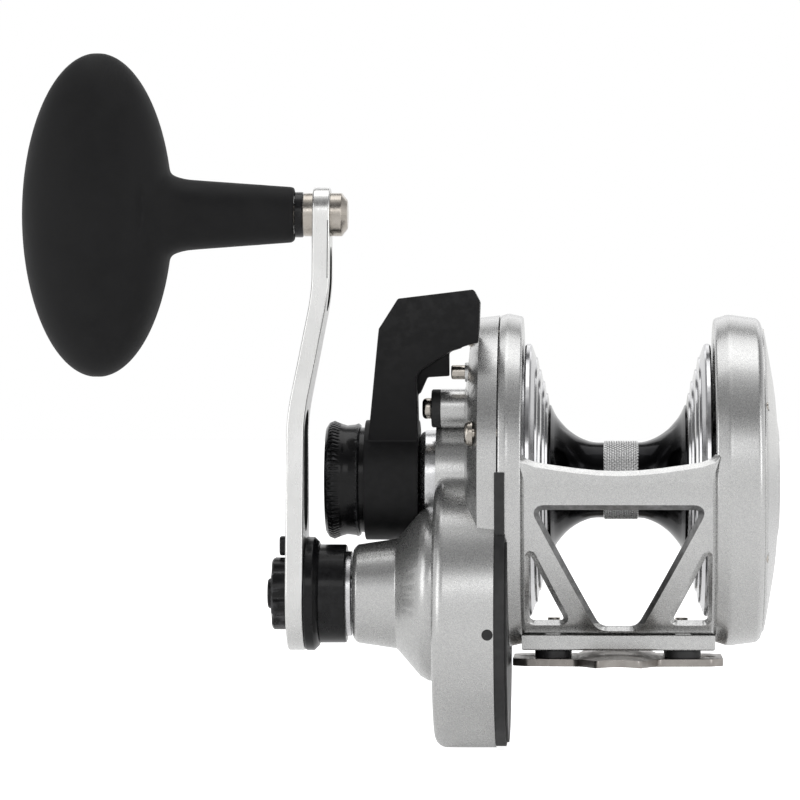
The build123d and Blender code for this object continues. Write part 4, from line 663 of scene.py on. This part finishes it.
arm_mesh = bpy.data.meshes.new_from_object(arm_blank.evaluated_get(bpy.context.evaluated_depsgraph_get()))
for spare in cutters + [arm_blank]:
    bpy.data.objects.remove(spare)
arm_bm = bmesh.new()
arm_bm.from_mesh(arm_mesh)
slice_along(arm_bm, 1, 55.0, 93.0, 1.0)
for v in arm_bm.verts:
    y, z, w = v.co
    v.co = (between(ARM_LINE, z) + ARM_T / 2 + w, y, z)
arm = piece("polished_arm", arm_bm, "handle", ["handle_arm"], "polished_alloy", 0.08, 2, 50)
arm.data.materials.append(MATERIALS["matte_black"])
WALL_INSET = (0.35, 1.75)  # depth below the arm's inner side
FLOOR_INSET = (1.3, 1.8)
POCKET_HALF_Y = 7.1
POCKET_Z = ((-13.0, 18.0), (39.0, 57.0))  # from the spool axis
for face in arm.data.polygons:
    x, y, z = [c / MM for c in face.center]
    inset = between(ARM_LINE, z) + ARM_T - x
    wall = WALL_INSET[0] < inset < WALL_INSET[1] and abs(face.normal.z) + abs(face.normal.y) > 0.5
    in_pocket = any(low < z - SPOOL_Z < high for low, high in POCKET_Z) and abs(y - HANDLE_Y) < POCKET_HALF_Y
    if wall and in_pocket:
        face.material_index = 1
    if FLOOR_INSET[0] < inset < FLOOR_INSET[1] and face.normal.x > 0.9:
        face.material_index = 1

# ---------------------------------------------------------------- grip, one moulded skin with a soft flare
grip_bm = from_node("knob_grip")
grip_mesh = bpy.data.meshes.new("grip_blank")
grip_bm.to_mesh(grip_mesh)
grip_bm.free()
grip_mesh.transform(Matrix.Scale(MM, 4))
grip = bpy.data.objects.new("moulded_grip", grip_mesh)
bpy.context.scene.collection.objects.link(grip)
grip_mesh.materials.append(MATERIALS["grip_rubber"])
skin_over = grip.modifiers.new("remesh", "REMESH")
skin_over.mode = "VOXEL"
skin_over.voxel_size = 0.55 * MM
soften = grip.modifiers.new("soften", "SMOOTH")
soften.factor = 0.5
soften.iterations = 14
settle(grip, 80)
grip.data.materials.clear()
grip.data.materials.append(MATERIALS["grip_rubber"])
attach(grip, "knob")
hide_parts("knob_grip")

# ---------------------------------------------------------------- floor, light, camera
low, high = cad_box
FLOOR_Z = low.z - 0.0005
bm = bmesh.new()
bmesh.ops.create_grid(bm, x_segments=24, y_segments=24, size=8.0)
floor_mesh = bpy.data.meshes.new("floor")
bm.to_mesh(floor_mesh)
bm.free()
floor = bpy.data.objects.new("floor", floor_mesh)
floor.location = (0, 0, FLOOR_Z)
bpy.context.scene.collection.objects.link(floor)
pale, tree, shader = new_material("pale_floor")
tint = ramp(tree, noise(tree, 3).outputs["Fac"], (0.90, 0.90, 0.90), (0.93, 0.93, 0.93))
tree.links.new(tint.outputs["Color"], shader.inputs["Base Color"])
shader.inputs["Roughness"].default_value = 0.9
shader.inputs["Specular IOR Level"].default_value = 0.1
shader.inputs["Emission Color"].default_value = (1, 1, 1, 1)
seen = tree.nodes.new("ShaderNodeLightPath")
glow = tree.nodes.new("ShaderNodeMath")
glow.operation = "MULTIPLY_ADD"
glow.inputs[1].default_value = 0.62
glow.inputs[2].default_value = 0.22
tree.links.new(seen.outputs["Is Camera Ray"], glow.inputs[0])
tree.links.new(glow.outputs["Value"], shader.inputs["Emission Strength"])
floor_mesh.materials.append(pale)


def soft_light(name, place, target, size, power):
    data = bpy.data.lights.new(name, "AREA")
    data.shape = "RECTANGLE"
    data.size, data.size_y = size
    data.energy = power
    light = bpy.data.objects.new(name, data)
    light.location = place
    light.rotation_euler = (Vector(target) - Vector(place)).to_track_quat("-Z", "Y").to_euler()
    bpy.context.scene.collection.objects.link(light)
    return light


CENTRE = (-0.045, 0.0, 0.06)
soft_light("top_light", (-0.05, 0.25, 1.1), CENTRE, (1.3, 0.7), 3.6)
soft_light("left_light", (-1.1, -0.7, 0.45), CENTRE, (0.6, 0.9), 2.4)
soft_light("right_light", (1.1, -0.55, 0.45), CENTRE, (0.5, 0.9), 2.4)
soft_light("front_light", (0.1, -1.5, 0.75), CENTRE, (0.9, 0.4), 1.6)
soft_light("back_light", (0.0, 1.2, 0.8), CENTRE, (1.4, 0.6), 2.0)

world = bpy.data.worlds.new("studio")
bpy.context.scene.world = world
world.use_nodes = True
tree = world.node_tree
background = tree.nodes["Background"]
place = tree.nodes.new("ShaderNodeTexCoord")
split = tree.nodes.new("ShaderNodeSeparateXYZ")
tree.links.new(place.outputs["Generated"], split.inputs["Vector"])
height = ramp(tree, split.outputs["Z"], (1.0, 1.0, 0.99), (0.9, 0.9, 0.9), 0.0, 1.0)
height.color_ramp.interpolation = "EASE"
for position, level in ((0.22, 0.95), (0.45, 0.5), (0.72, 0.16), (0.88, 0.3)):
    height.color_ramp.elements.new(position).color = (level, level, level * 1.01, 1)
background.inputs["Strength"].default_value = 0.95
tree.links.new(height.outputs["Color"], background.inputs["Color"])
plain = tree.nodes.new("ShaderNodeBackground")
plain.inputs["Color"].default_value = (1, 1, 1, 1)
plain.inputs["Strength"].default_value = 1.0
path = tree.nodes.new("ShaderNodeLightPath")
choose = tree.nodes.new("ShaderNodeMixShader")
tree.links.new(path.outputs["Is Camera Ray"], choose.inputs["Fac"])
tree.links.new(background.outputs["Background"], choose.inputs[1])
tree.links.new(plain.outputs["Background"], choose.inputs[2])
tree.links.new(choose.outputs["Shader"], tree.nodes["World Output"].inputs["Surface"])

bpy.context.scene.view_settings.view_transform = "Standard"

CAMERA_BACK = 1.1
camera_data = bpy.data.cameras.new("camera")
camera_data.lens = 206.0
camera_data.sensor_width = 36.0
camera_data.clip_start, camera_data.clip_end = 0.05, 30.0
camera = bpy.data.objects.new("camera", camera_data)
bpy.context.scene.collection.objects.link(camera)
camera.location = (-0.002, -CAMERA_BACK, 0.0632)
camera.rotation_euler = (math.radians(90.0), math.radians(0.0), math.radians(2.62))
bpy.context.scene.camera = camera
